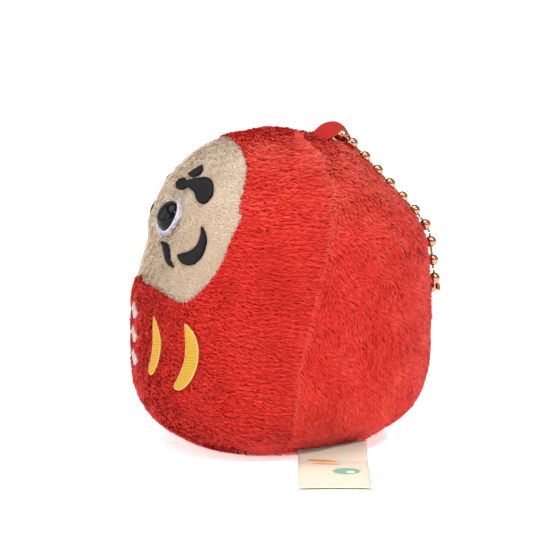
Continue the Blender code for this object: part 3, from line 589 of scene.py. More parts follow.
def thread_material(name, colour, light, roughness=0.45):
    """Satin stitching: threads run across the piece's own map."""
    material, tree, shader = new_material(name, colour, roughness, Specular_IOR_Level=0.15)
    place = node(tree, "ShaderNodeUVMap", uv_map="Stitch")
    wave = node(tree, "ShaderNodeTexWave", bands_direction='Y', Scale=0.9, Distortion=0.6,
                Detail=1.0)
    tree.links.new(place.outputs["UV"], wave.inputs["Vector"])
    patch = object_noise(tree, 700.0, 2.0)
    base = ramp(tree, patch, [(0.35, colour), (0.75, light)])
    # Painted shade: the stitching darker in the grooves between its threads, on the same waves as
    # its bump.
    low = tuple(0.6 * c for c in colour)
    tree.links.new(mix_colours(tree, wave.outputs["Fac"], low, base), shader.inputs["Base Color"])
    add_bump(tree, shader, wave.outputs["Fac"], 0.5, 0.00008)
    return material


def satin_material(name, colour, light):
    """Woven satin tape on its own map, with fine threads across it."""
    material, tree, shader = new_material(name, colour, 0.45, Specular_IOR_Level=0.15,
                                          Anisotropic=0.5)
    place = node(tree, "ShaderNodeUVMap", uv_map="Tape")
    across = node(tree, "ShaderNodeTexWave", bands_direction='Y', Scale=2.4, Distortion=1.2,
                  Detail=2.0)
    along = node(tree, "ShaderNodeTexWave", bands_direction='X', Scale=1.6, Distortion=0.8,
                 Detail=1.0)
    for wave in (across, along):
        tree.links.new(place.outputs["UV"], wave.inputs["Vector"])
    weave_height = mix_colours(tree, 0.35, across.outputs["Color"], along.outputs["Color"])
    patch = object_noise(tree, 420.0, 3.0)
    tone = ramp(tree, patch, [(0.35, colour), (0.75, light)])
    # Painted shade: the satin darker in the grooves of its weave, on the same waves as its bump.
    painted_weave_shade = tuple(0.72 * c for c in colour)
    tree.links.new(mix_colours(tree, across.outputs["Fac"], painted_weave_shade, tone),
                   shader.inputs["Base Color"])
    add_bump(tree, shader, weave_height, 0.35, 0.00006)
    return material


def print_patch(tree, place, tone, colour, centre, half, turn=0.0):
    """Prints a soft-edged oval on a map whose units are millimetres."""
    fit = tree.nodes.new("ShaderNodeMapping")
    fit.vector_type = 'TEXTURE'
    fit.inputs["Location"].default_value = (*centre, 0.0)
    fit.inputs["Rotation"].default_value = (0.0, 0.0, turn)
    fit.inputs["Scale"].default_value = (*half, 1.0)
    tree.links.new(place, fit.inputs["Vector"])
    oval = node(tree, "ShaderNodeTexGradient", gradient_type='SPHERICAL')
    tree.links.new(fit.outputs["Vector"], oval.inputs["Vector"])
    inside = ramp(tree, oval.outputs["Fac"], [(0.0, (0.0, 0.0, 0.0)), (0.12, (1.0, 1.0, 1.0))])
    return mix_colours(tree, inside, tone, colour)


def printed_satin(name, colour, light, orange, teal):
    """The label's satin with two orange ovals, and a teal one with a light dot in it."""
    material = satin_material(name, colour, light)
    tree = material.node_tree
    shader = tree.nodes["Principled BSDF"]
    tone = shader.inputs["Base Color"].links[0].from_socket
    place = node(tree, "ShaderNodeUVMap", uv_map="Tape").outputs["UV"]
    for centre, half, turn in (((-2.2, 4.9), (3.3, 0.7), 0.14), ((-1.4, 7.7), (3.1, 0.8), 0.14)):
        tone = print_patch(tree, place, tone, orange, centre, half, turn)
    tone = print_patch(tree, place, tone, teal, (2.5, 14.0), (2.9, 3.0), 0.3)
    tone = print_patch(tree, place, tone, light, (3.3, 14.6), (0.9, 1.1))
    tree.links.new(tone, shader.inputs["Base Color"])
    return material


def gold_material(name, colour):
    """Plated metal, a little worn."""
    material, tree, shader = new_material(name, colour, 0.12, Metallic=1.0)
    wear = object_noise(tree, 1500.0, 4.0)
    tone = ramp(tree, wear, [(0.35, tuple(0.86 * c for c in colour)), (0.7, colour)])
    tree.links.new(tone, shader.inputs["Base Color"])
    rough = node(tree, "ShaderNodeMapRange")
    rough.inputs["To Min"].default_value = 0.07
    rough.inputs["To Max"].default_value = 0.2
    tree.links.new(object_noise(tree, 2600.0, 2.0), rough.inputs["Value"])
    tree.links.new(rough.outputs["Result"], shader.inputs["Roughness"])
    return material


def plastic_material(name, colour, roughness):
    """Moulded plastic."""
    material, tree, shader = new_material(name, colour, roughness, IOR=1.27)
    speck = object_noise(tree, 1200.0, 3.0)
    tone = ramp(tree, speck, [(0.3, tuple(0.8 * c for c in colour)), (0.7, colour)])
    tree.links.new(tone, shader.inputs["Base Color"])
    add_bump(tree, shader, object_noise(tree, 600.0, 1.0), 0.03, 0.0002)
    return material


def fibre_material(name, colour):
    """Loose filling, felt and other matted fibre."""
    material, tree, shader = new_material(name, colour, 0.97, Sheen_Weight=0.3,
                                          Specular_IOR_Level=0.1)
    strands = object_noise(tree, 2200.0, 6.0, 0.7)
    tone = ramp(tree, strands, [(0.3, tuple(0.8 * c for c in colour)), (0.65, colour)])
    tree.links.new(tone, shader.inputs["Base Color"])
    add_bump(tree, shader, strands, 0.7, 0.0003)
    return material


# ================================================================ skin
def body_grid(columns, base_rows, waist_rows, dome_rows):
    """Closed grid over the body, from the middle of its base to the crown."""
    lowest = asin((WAIST_BOTTOM / (WAIST_BOTTOM + BASE_DROP)) ** (BASE_POWER / 2.0))
    heights = []
    for i in range(base_rows, 0, -1):
        fall = sin(lowest * i / base_rows) ** (2.0 / BASE_POWER)
        heights.append(max(0.0, WAIST_BOTTOM - fall * (WAIST_BOTTOM + BASE_DROP)))
    heights += [WAIST_BOTTOM + (WAIST_TOP - WAIST_BOTTOM) * i / waist_rows
                for i in range(waist_rows)]
    heights += [WAIST_TOP + (HEIGHT - WAIST_TOP) * sin(0.5 * pi * i / dome_rows)
                for i in range(dome_rows)]
    angles = 2.0 * pi * np.arange(columns) / columns
    foot = ring_points(angles, np.full(columns, heights[0]))
    rows = [foot * np.array((f, f, 1.0)) for f in np.linspace(0.12, 1.0, base_rows)[:-1]]
    rows += [ring_points(angles, np.full(columns, z)) for z in heights]
    verts = np.concatenate(rows + [np.array([(0.0, 0.0, 0.0), (0.0, 0.0, HEIGHT)])])
    last, faces = len(rows) - 1, []
    for r in range(last):
        a, b = r * columns, (r + 1) * columns
        faces += [(a + i, a + (i + 1) % columns, b + (i + 1) % columns, b + i)
                  for i in range(columns)]
    low, high = len(rows) * columns, len(rows) * columns + 1
    faces += [((i + 1) % columns, i, low) for i in range(columns)]
    faces += [(last * columns + i, last * columns + (i + 1) % columns, high)
              for i in range(columns)]
    return verts, faces


def vertex_arrays(mesh):
    count = len(mesh.vertices)
    places, normals = np.empty(count * 3), np.empty(count * 3)
    mesh.vertices.foreach_get("co", places)
    mesh.vertex_normals.foreach_get("vector", normals)
    return places.reshape(-1, 3), normals.reshape(-1, 3)


def soft_relief(points):
    """Height of the sewn and stuffed relief over the plain body surface."""
    x, y, z = points.T
    relief = np.zeros(len(points))
    ahead = y < 0.0
    rise, middle, wide, high = NOSE
    relief += np.where(ahead, rise * np.exp(-(x / wide) ** 2 - ((z - middle) / high) ** 2), 0.0)
    deep, middle, wide, high = NOSE_CREASE
    relief -= np.where(ahead, deep * np.exp(-(x / wide) ** 2 - ((z - middle) / high) ** 2), 0.0)
    for side in (-1, 1):
        reach = np.hypot(x - side * EYE_X, z - EYE_Z)
        relief -= np.where(ahead, EYE_DIMPLE[0] * np.exp(-(reach / EYE_DIMPLE[1]) ** 2), 0.0)
    deep, at_x, at_y, long, wide = RIBBON_VALLEY
    sewn = np.exp(-((x - at_x) / long) ** 2 - ((y - at_y) / wide) ** 2)
    relief -= np.where(z > WAIST_TOP, deep * sewn, 0.0)
    front, back = (np.interp(z / HEIGHT, *np.array(smooth_curve(table, 4)).T)
                   for table in (FRONT_FULLNESS, BACK_FULLNESS))
    forward = np.clip(0.5 - y / 0.016, 0.0, 1.0)
    return relief + front * forward + back * (1.0 - forward)


def make_skin(settings):
    """The stuffed skin: drawn in at its seams and swelled between them."""
    verts, faces = body_grid(120, 12, 8, 30)
    skin = add_mesh("skin", verts, faces)
    plain, normals = vertex_arrays(skin.data)
    red, edge = seam_distance(plain)
    drawn = settings.seam_depth * np.exp(-(red / 0.0013) ** 2)
    drawn = np.maximum(drawn, 0.45 * settings.seam_depth * np.exp(-(edge / 0.0010) ** 2))
    flat = plain[:, 2] < 0.0002
    start = plain + normals * (soft_relief(plain) - drawn - 0.0002)[:, None]
    start[:, 2] = np.where(flat, FLOOR_GAP, np.maximum(start[:, 2], FLOOR_GAP))
    pinned = np.clip(1.6 - np.minimum(red, edge) / 0.0010, 0.0, 1.0)
    pinned[flat] = 1.0
    moved = start
    moved = swell(skin, start, pinned, settings.pressure)
    travel = moved - start
    reach = np.linalg.norm(travel, axis=1, keepdims=True)
    travel *= np.minimum(1.0, settings.most_swell / np.maximum(reach, 1e-9))
    moved = start + travel
    moved[:, 2] = np.maximum(moved[:, 2], FLOOR_GAP)
    skin.data.vertices.foreach_set("co", moved.ravel())
    finer = skin.modifiers.new("finer", 'SUBSURF')
    finer.levels = finer.render_levels = 1
    apply_modifiers(skin)
    return skin


def swell(skin, start, pinned, pressure):
    """Runs cloth with pressure on a ten times larger copy, and returns where its points end."""
    scale, frames = 10.0, 20
    trial = skin.copy()
    trial.data = skin.data.copy()
    bpy.context.scene.collection.objects.link(trial)
    trial.data.vertices.foreach_set("co", (start * scale).ravel())
    group = trial.vertex_groups.new(name="seams")
    for index, weight in enumerate(pinned):
        if weight > 0.0:
            group.add([index], float(weight), 'REPLACE')
    cloth = trial.modifiers.new("stuffed", 'CLOTH')
    cloth.settings.vertex_group_mass = "seams"
    cloth.settings.use_pressure = True
    cloth.settings.uniform_pressure_force = pressure
    cloth.settings.quality = 6
    cloth.settings.mass = 0.3
    cloth.settings.tension_stiffness = 18.0
    cloth.settings.compression_stiffness = 18.0
    cloth.settings.shear_stiffness = 6.0
    cloth.settings.bending_stiffness = 0.6
    cloth.settings.effector_weights.gravity = 0.0
    cloth.point_cache.frame_start = 1
    cloth.point_cache.frame_end = frames
    scene = bpy.context.scene
    for step in range(1, frames + 1):
        scene.frame_set(step)
    evaluated = trial.evaluated_get(bpy.context.evaluated_depsgraph_get())
    ended = np.empty(len(trial.data.vertices) * 3)
    evaluated.data.vertices.foreach_get("co", ended)
    scene.frame_set(1)
    bpy.data.objects.remove(trial)
    return ended.reshape(-1, 3) / scale


def split_skin(skin, materials):
    """One closed shell for each sewn panel, cut from the swelled skin."""
    mesh = skin.data
    places, _ = vertex_arrays(mesh)
    middles = np.array([np.mean(places[list(p.vertices)], axis=0) for p in mesh.polygons])
    panel = panel_of(middles)
    for index, name in enumerate(PANELS):
        faces = [tuple(p.vertices) for p, k in zip(mesh.polygons, panel) if k == index]
        used = sorted({v for face in faces for v in face})
        place = {v: i for i, v in enumerate(used)}
        shell = add_mesh(f"{name}_skin", places[used], [[place[v] for v in f] for f in faces])
        wall = shell.modifiers.new("wall", 'SOLIDIFY')
        wall.thickness = WALL
        wall.offset = -1.0
        apply_modifiers(shell)
        for vert in shell.data.vertices:
            vert.co.z = max(vert.co.z, 0.0001)
        cloth = materials["cream_cloth" if index == 0 else "red_cloth"]
        slot = "cream_plush" if index == 0 else "red_plush"
        give(shell, cloth, "root", slot, name)


# ================================================================ pile
def waves(points, length, seed, count=10):
    """Smooth noise from -1 to 1: a seeded sum of waves of about one length."""
    rng = np.random.default_rng(seed)
    total = np.zeros(len(points))
    for _ in range(count):
        direction = rng.normal(size=3)
        direction /= np.linalg.norm(direction)
        rate = 2.0 * pi / (length * rng.uniform(0.7, 1.5))
        total += np.sin(points @ direction * rate + rng.uniform(0.0, 2.0 * pi))
    return total / sqrt(count)


def scatter(skin, per_mm2, rng):
    """Random roots on the skin, with the skin's normal at each."""
    mesh = skin.data
    mesh.calc_loop_triangles()
    places, normals = vertex_arrays(mesh)
    corners = np.empty(len(mesh.loop_triangles) * 3, int)
    mesh.loop_triangles.foreach_get("vertices", corners)
    corners = corners.reshape(-1, 3)
    a, b, c = (places[corners[:, i]] for i in range(3))
    area = 0.5 * np.linalg.norm(np.cross(b - a, c - a), axis=1) / MM ** 2
    count = np.floor(area * per_mm2 + rng.random(len(area))).astype(int)
    chosen = np.repeat(np.arange(len(area)), count)
    u, v = rng.random(len(chosen)), rng.random(len(chosen))
    over = u + v > 1.0
    u[over], v[over] = 1.0 - u[over], 1.0 - v[over]
    weights = np.stack((1.0 - u - v, u, v), axis=-1)
    roots = (places[corners[chosen]] * weights[:, :, None]).sum(1)
    facing = (normals[corners[chosen]] * weights[:, :, None]).sum(1)
    facing /= np.linalg.norm(facing, axis=1, keepdims=True)
    return roots, facing


def mark_outline(stroke, steps=4):
    """Closed outline of a satin column, in metres."""
    rails = np.array(smooth_curve(stroke, steps)) * MM
    return np.concatenate((rails[:, :2], rails[::-1, 2:]))


def mark_clearance(points):
    """Distance from each point to the nearest sewn mark's edge, negative inside it."""
    out = np.full(len(points), 1.0)
    ahead = points[:, 1] < 0.0
    x, z = np.abs(points[ahead, 0]), points[ahead, 2]
    best = np.full(len(x), 1.0)
    for stroke in (BROW, BROW_DASH, CHEEK, MOUSTACHE, STRIPE_INNER, STRIPE_OUTER):
        ring = mark_outline(stroke)
        reach, inside = np.full(len(x), 1.0), np.zeros(len(x), bool)
        for (ax, az), (bx, bz) in zip(ring, np.roll(ring, -1, axis=0)):
            dx, dz = bx - ax, bz - az
            t = np.clip(((x - ax) * dx + (z - az) * dz) / max(dx * dx + dz * dz, 1e-16), 0.0, 1.0)
            reach = np.minimum(reach, np.hypot(x - ax - t * dx, z - az - t * dz))
            if dz:
                inside ^= ((az > z) != (bz > z)) & (x < dx * (z - az) / dz + ax)
        best = np.minimum(best, np.where(inside, -reach, reach))
    for i in range(LOZENGES):
        middle = CHEST_TOP_Z - i * CHEST_STEP
        beyond = np.abs(x) / CHEST_HALF[0] + np.abs(z - middle) / CHEST_HALF[1] - 1.0
        best = np.minimum(best, beyond * 0.0018)
    out[ahead] = best
    return out


def unit(vectors):
    """Rows of unit length."""
    return vectors / np.maximum(np.linalg.norm(vectors, axis=1, keepdims=True), 1e-9)


def nap_direction(roots, facing, panel, rng):
    """Which way the pile is combed at each root, along the skin."""
    x, y, z = roots.T
    up = np.array((0.0, 0.0, 1.0))
    round_way = unit(np.cross(up, facing))
    down = -unit(np.cross(facing, round_way))
    swirl = waves(roots, 0.011, 21)
    fine = waves(roots, 0.0032, 22)
    turn = {0: 0.1, 1: 0.14, 2: 1.1, 3: 1.1, 4: 0.0}
    angle = np.select([panel == k for k in turn], list(turn.values()), 0.0)
    loose = np.select([panel == 0, panel == 1], [0.20, 0.16], 0.42)
    angle = angle + 1.25 * np.exp(-(x / 0.010) ** 2) * (y < 0.0)
    angle = angle + loose * swirl + 0.6 * loose * fine + rng.normal(0.0, 0.16, len(roots))
    side = np.where((panel == 0) | (panel == 3), np.where(x < 0.0, -1.0, 1.0), 1.0)
    way = round_way * (np.cos(angle) * side)[:, None] + down * np.sin(angle)[:, None]
    crown = np.clip((np.abs(facing[:, 2]) - 0.93) / 0.06, 0.0, 1.0)
    out = unit(np.stack((np.ones(len(x)), 0.25 + 0.0 * y, 0.0 * z), axis=-1))
    way = way * (1.0 - crown)[:, None] + out * crown[:, None]
    way -= facing * (way * facing).sum(1, keepdims=True)
    return unit(way)


def pile_tone(roots, panel, rib_pitch, rng):
    """Tone of each tuft from 0, dark, to 1, light."""
    rib = np.sin(2.0 * pi * (roots[:, 2] + 0.10 * roots[:, 1]) / rib_pitch
                 + 1.7 * waves(roots, 0.006, 31))
    patch = waves(roots, 0.0085, 32)
    speck = waves(roots, 0.0016, 33)
    ribbed = np.select([panel == 1, panel == 0], [0.13, 0.03], 0.05)
    # Painted light: tufts lighter towards the top of the head and face, as if lit from above.
    high = np.clip((roots[:, 2] - 0.038) / 0.026, 0.0, 1.0)
    # Painted shade and light: the front and face panels a tone darker and the back panels a little
    # lighter, as the light falls on them.
    back = np.where(panel >= 2, 0.06, -0.10)
    tone = 0.40 + ribbed * rib + 0.06 * patch + 0.07 * speck + 0.36 * high + back
    return np.clip(tone + rng.normal(0.0, 0.06, len(roots)), 0.02, 0.98), rib


def tuft_object(name, roots, facing, way, length, lean, width, tone, rng):
    """Tufts as one mesh: each a tapered blade of one quad and one triangle."""
    count = len(roots)
    lean = np.clip(lean, 0.12, 1.20)
    low = np.sin(lean + 0.25)[:, None], np.cos(lean + 0.25)[:, None]
    high = np.sin(lean - 0.30)[:, None], np.cos(lean - 0.30)[:, None]
    first = facing * low[0] + way * low[1]
    second = facing * high[0] + way * high[1]
    roll = rng.uniform(-0.45, 0.45, count)[:, None]
    side = np.cross(first, facing) * np.cos(roll) + facing * np.sin(roll)
    side = unit(side) * (0.5 * width)[:, None]
    middle = roots + first * (0.52 * length)[:, None]
    tip = middle + second * (0.48 * length)[:, None]
    base = roots - facing * 0.0001
    verts = np.stack((base - 0.5 * side, base + 0.5 * side, middle + side, middle - side, tip),
                     axis=1)
    verts[:, :, 2] = np.maximum(verts[:, :, 2], 0.00004)
    mesh = bpy.data.meshes.new(name)
    mesh.vertices.add(count * 5)
    mesh.vertices.foreach_set("co", verts.astype(np.float32).ravel())
    number = 5 * np.arange(count)[:, None]
    corners = np.concatenate((number + np.array([[0, 1, 2, 3]]), number + np.array([[3, 2, 4]])),
                             axis=1)
    mesh.loops.add(count * 7)
    mesh.loops.foreach_set("vertex_index", corners.astype(np.int32).ravel())
    mesh.polygons.add(count * 2)
    starts = np.stack((7 * np.arange(count), 7 * np.arange(count) + 4), axis=-1)
    mesh.polygons.foreach_set("loop_start", starts.astype(np.int32).ravel())
    mesh.update(calc_edges=True)
    mesh.shade_smooth()
    tones = np.stack([tone - 0.006, tone + 0.006, tone + 0.006, tone - 0.006,
                      tone - 0.006, tone + 0.006, tone], axis=1)
    along = np.tile(np.array([0.01, 0.01, 0.5, 0.5, 0.5, 0.5, 0.99]), (count, 1))
    layer = mesh.uv_layers.new(name="OFBake")
    layer.data.foreach_set("uv", np.stack((tones, along), axis=-1).astype(np.float32).ravel())
    soft = facing[:, None, :] * 0.85 + way[:, None, :] * 0.22 \
        + rng.normal(0.0, 0.16, (count, 1, 3)) + np.zeros((1, 5, 1))
    soft /= np.linalg.norm(soft, axis=2, keepdims=True)
    mesh.normals_split_custom_set_from_vertices(soft.reshape(-1, 3))
    obj = bpy.data.objects.new(name, mesh)
    bpy.context.scene.collection.objects.link(obj)
    return obj


def make_pile(skin, settings, materials):
    """Combs the pile over the skin, a piece for each panel or half of one."""
    rng = np.random.default_rng(settings.seed)
    roots, facing = scatter(skin, settings.tufts_per_mm2, rng)
    panel = panel_of(roots)
    red, edge = seam_distance(roots)
    clear = mark_clearance(roots)
    keep = clear > 0.0
    for side in (-1, 1):
        reach = np.hypot(roots[:, 0] - side * EYE_X, roots[:, 2] - EYE_Z)
        keep &= (reach > 0.95 * EYE_RADIUS) | (roots[:, 1] > 0.0)
    keep &= ~((panel == 4) & (roots[:, 2] < 0.0006))
    roots, facing, panel, red, edge = (a[keep] for a in (roots, facing, panel, red, edge))
    way = nap_direction(roots, facing, panel, rng)
    tone, rib = pile_tone(roots, panel, settings.rib_pitch, rng)
    seam = np.exp(-(red / 0.0012) ** 2)
    # Painted highlight: tufts along the red seams lighter, where the pile curls over the seam.
    tone = np.clip(tone + 0.16 * seam, 0.02, 0.98)
    length = np.where(panel == 0, settings.face_pile_length, settings.pile_length)
    length = length * rng.uniform(0.78, 1.12, len(roots)) * (1.0 + 0.10 * rib * (panel == 1))
    length *= np.where(roots[:, 2] < 0.004, 0.55, 1.0)
    length *= np.clip(clear[keep] / 0.0009, 0.5, 1.0)
    behind = np.exp(-(np.maximum(np.abs(roots[:, 0] - RIBBON_X) - 0.0075, 0.0) / 0.002) ** 2)
    behind *= (roots[:, 1] > 0.012) * np.clip((0.060 - roots[:, 2]) / 0.008, 0.0, 1.0)
    behind *= roots[:, 2] > 0.026
    length *= 1.0 + 0.12 * behind
    sewn = np.exp(-((roots[:, 0] - 0.0045) / 0.0045) ** 2 - ((roots[:, 1] - 0.0065) / 0.003) ** 2)
    sewn *= roots[:, 2] > WAIST_TOP
    length *= 1.0 - 0.55 * sewn
    lean = settings.pile_lean + 0.30 * seam + rng.normal(0.0, 0.13, len(roots)) + 0.20 * behind
    lean += 0.13 * waves(roots, 0.0022, 41)
    width = settings.pile_width * rng.uniform(0.75, 1.2, len(roots))
    width *= np.where(panel == 0, 0.72, 1.0)
    layer = np.where(panel == 0, 0.45, 0.80) * settings.pile_depth
    layer = layer * (1.0 + 0.3 * behind - 0.8 * sewn)
    roots = roots + facing * (layer * rng.random(len(roots)))[:, None]
    left = roots[:, 0] > 0.0
    groups = [("face_pile", panel == 0, "cream_pile", "cream_plush"),
              ("front_pile_left", (panel == 1) & left, "red_pile", "red_plush"),
              ("front_pile_right", (panel == 1) & ~left, "red_pile", "red_plush"),
              ("back_pile_left", panel == 2, "red_pile", "red_plush"),
              ("back_pile_right", panel == 3, "red_pile", "red_plush"),
              ("base_pile", panel == 4, "red_pile", "red_plush")]
    for name, chosen, material, slot in groups:
        made = tuft_object(name, roots[chosen], facing[chosen], way[chosen], length[chosen],
                           lean[chosen], width[chosen], tone[chosen], rng)
        give(made, materials[material], "root", slot)


# ================================================================ sewn marks
class Ground:
    """Where the front of the finished skin lies."""

    def __init__(self, skin):
        mesh = skin.data
        self.tree = BVHTree.FromPolygons([v.co for v in mesh.vertices],
                                         [tuple(p.vertices) for p in mesh.polygons])

    def at(self, x, z, lift=0.0):
        hit, _, _, _ = self.tree.ray_cast(Vector((x, -0.2, z)), Vector((0.0, 1.0, 0.0)))
        if hit is None:
            hit = Vector((x, float(front_y(x, z)), z))
        return hit + front_normal(x, z) * lift


def even_rails(stroke, pitch):
    """A satin column's two edges, in metres, at an even pitch along its middle."""
    rails = np.array(smooth_curve(stroke, 24)) * MM
    middle = 0.5 * (rails[:, :2] + rails[:, 2:])
    run = np.concatenate(([0.0], np.cumsum(np.hypot(*np.diff(middle, axis=0).T))))
    at = np.linspace(0.0, run[-1], max(6, int(round(run[-1] / pitch))) + 1)
    return np.stack([np.interp(at, run, rails[:, k]) for k in range(4)], axis=-1), at


def stitched_pad(name, stroke, mirror, ground, trims):
    """Satin stitching over a column: ridged across, rounded along its edges, closed below."""
    across = 10
    line, run = even_rails(stroke, trims.thread_pitch / 4.0)
    verts, uvs = [], []
    for layer in (0, 1):
        for i, (ax, az, bx, bz) in enumerate(line):
            half = 0.5 * hypot(bx - ax, bz - az)
            for k in range(across + 1):
                t = sin(0.5 * pi * (2.0 * k / across - 1.0))
                px = 0.5 * ((1.0 - t) * ax + (1.0 + t) * bx)
                pz = 0.5 * ((1.0 - t) * az + (1.0 + t) * bz)
                edge = abs(t) > 0.999
                lift = -MARK_SINK
                if layer:
                    crown = 0.35 * (1.0 - abs(t) ** 3.2) + (0.0 if edge else 0.65)
                    ridge = 0.0 if edge else 0.00004 * cos(2.0 * pi * run[i] / trims.thread_pitch)
                    lift = trims.mark_height * crown + ridge
                verts.append(ground.at(mirror * px, pz, lift))
                uvs.append((t * half / MM, run[i] / MM))
    width, length = across + 1, len(line)
    top = width * length
    faces = []
    for i in range(length - 1):
        for k in range(across):
            a = i * width + k
            faces += [(a, a + 1, a + width + 1, a + width),
                      (top + a, top + a + width, top + a + width + 1, top + a + 1)]
        for k in (0, across):
            a = i * width + k
            faces.append((a, a + width, top + a + width, top + a))
    for i in (0, length - 1):
        for k in range(across):
            a = i * width + k
            faces.append((a, a + 1, top + a + 1, top + a))
    obj = add_mesh(name, verts, faces)
    recalculate(obj)
    put_map(obj, "Stitch", uvs)
    return obj


def put_map(obj, name, uvs):
    """Gives a piece a map with one place for each vertex."""
    layer = obj.data.uv_layers.new(name=name)
    numbers = np.empty(len(obj.data.loops), int)
    obj.data.loops.foreach_get("vertex_index", numbers)
    layer.data.foreach_set("uv", np.array(uvs, np.float32)[numbers].ravel())


def edge_cord(name, stroke, mirror, ground, trims, radius):
    """Outline stitch round a stroke: one closed cord laid along its edge."""
    line, _ = even_rails(stroke, 0.00035)
    ring = np.concatenate((line[:, :2], line[::-1, 2:]))
    keep = np.hypot(*(ring - np.roll(ring, 1, axis=0)).T) > 0.00008
    return cord_mesh(name, [(mirror * x, z) for x, z in ring[keep]], ground,
                     trims.mark_height * 0.62, radius)


def cord_mesh(name, ring, ground, lift, radius, sides=7):
    """Closed cord along (x, z) points over the skin."""
    count = len(ring)
    middles = [ground.at(x, z, lift) for x, z in ring]
    verts, faces = [], []
    for i, (x, z) in enumerate(ring):
        along = (middles[(i + 1) % count] - middles[i - 1]).normalized()
        out = front_normal(x, z)
        across = along.cross(out).normalized()
        out = across.cross(along)
        for k in range(sides):
            turn = 2.0 * pi * k / sides
            verts.append(middles[i] + (across * cos(turn) + out * sin(turn)) * radius)
    for i in range(count):
        a, b = i * sides, ((i + 1) % count) * sides
        faces += [(a + k, a + (k + 1) % sides, b + (k + 1) % sides, b + k) for k in range(sides)]
    obj = add_mesh(name, verts, faces)
    recalculate(obj)
    put_map(obj, "Stitch", [(0.0, 0.3 * (i // sides)) for i in range(count * sides)])
    return obj


def lozenge_pad(name, z, ground, trims):
    """Chest lozenge of satin stitching, with threads running up and down."""
    columns, rows = 72, 12
    verts, uvs = [], []
    for layer in (0, 1):
        for i in range(columns + 1):
            x = CHEST_HALF[0] * (2.0 * i / columns - 1.0)
            reach = max(0.00005, CHEST_HALF[1] * (1.0 - abs(x) / CHEST_HALF[0]))
            for k in range(rows + 1):
                t = 2.0 * k / rows - 1.0
                inner = abs(t) < 0.999 and 0 < i < columns
                lift = -MARK_SINK
                if layer:
                    lift = 0.8 * trims.mark_height * (0.75 * inner + 0.25 * (1.0 - t * t))
                    lift += 0.00005 * inner * cos(2.0 * pi * x / trims.thread_pitch)
                verts.append(ground.at(x, z + reach * t, lift))
                uvs.append((reach * t / MM, x / MM))
    width, top = rows + 1, (rows + 1) * (columns + 1)
    faces = []
    for i in range(columns):
        for k in range(rows):
            a = i * width + k
            faces += [(a, a + 1, a + width + 1, a + width),
                      (top + a, top + a + width, top + a + width + 1, top + a + 1)]
        for k in (0, rows):
            a = i * width + k
            faces.append((a, a + width, top + a + width, top + a))
    for i in (0, columns):
        for k in range(rows):
            a = i * width + k
            faces.append((a, a + 1, top + a + 1, top + a))
    obj = add_mesh(name, verts, faces)
    recalculate(obj)
    put_map(obj, "Stitch", uvs)
    return obj


def make_marks(ground, trims, materials):
    """Stitching and an edge cord for each mark on both sides, and the chest lozenges."""
    kinds = [("brow", BROW, "black", 0.00016), ("brow_dash", BROW_DASH, "black", 0.00012),
             ("cheek_curl", CHEEK, "black", 0.00013), ("moustache", MOUSTACHE, "black", 0.0001),
             ("stripe_inner", STRIPE_INNER, "yellow", 0.00016),
             ("stripe_outer", STRIPE_OUTER, "yellow", 0.00018)]
    for name, stroke, colour, radius in kinds:
        for mirror, word in ((1, "left"), (-1, "right")):
            node_name = f"{name}_{word}"
            pad = stitched_pad(f"{node_name}_stitching", stroke, mirror, ground, trims)
            give(pad, materials[f"{colour}_thread"], "root", f"{colour}_thread", node_name)
            rim = edge_cord(f"{node_name}_edge", stroke, mirror, ground, trims, radius)
            edge = "black_edge" if colour == "black" else "yellow_edge"
            give(rim, materials[edge], "root", f"{colour}_thread")
    for i in range(LOZENGES):
        pad = lozenge_pad(f"chest_lozenge_{i + 1}_stitching", CHEST_TOP_Z - i * CHEST_STEP,
                          ground, trims)
        give(pad, materials["white_thread"], "root", "white_thread", f"chest_lozenge_{i + 1}")


# ================================================================ eyes
def eye_place(side, lift):
    """Frame of an eye on the body surface, its Z axis outward."""
    x = EYE_X * side
    normal = front_normal(x, EYE_Z)
    matrix = normal.to_track_quat('Z', 'Y').to_matrix().to_4x4()
    matrix.translation = Vector((x, float(front_y(x, EYE_Z)), EYE_Z)) + normal * lift
    return matrix


def make_eye(name):
    """Domed button with a turned rim, its back at z = 0."""
    deselect_all()
    bpy.ops.mesh.primitive_uv_sphere_add(segments=64, ring_count=32, radius=EYE_RADIUS)
    eye = bpy.context.active_object
    eye.name = name
    eye.scale = (1.0, 1.0, (EYE_DOME - 0.0003) / EYE_RADIUS)
    eye.location = (0.0, 0.0, 0.0003)
    settle(eye)
    bpy.ops.object.mode_set(mode='EDIT')
    bpy.ops.mesh.select_all(action='SELECT')
    bpy.ops.mesh.bisect(plane_co=(0.0, 0.0, 0.00031), plane_no=(0.0, 0.0, 1.0),
                        clear_inner=True, use_fill=False)
    bpy.ops.mesh.extrude_region_move(TRANSFORM_OT_translate={"value": (0.0, 0.0, -0.00034)})
    bpy.ops.mesh.extrude_region_move(TRANSFORM_OT_translate={"value": (0.0, 0.0, -0.00012)})
    bpy.ops.transform.resize(value=(0.95, 0.95, 1.0))
    bpy.ops.mesh.edge_face_add()
    bpy.ops.mesh.select_all(action='SELECT')
    bpy.ops.mesh.normals_make_consistent(inside=False)
    bpy.ops.object.mode_set(mode='OBJECT')
    bpy.ops.object.shade_smooth_by_angle(angle=radians(38.0))
    return eye


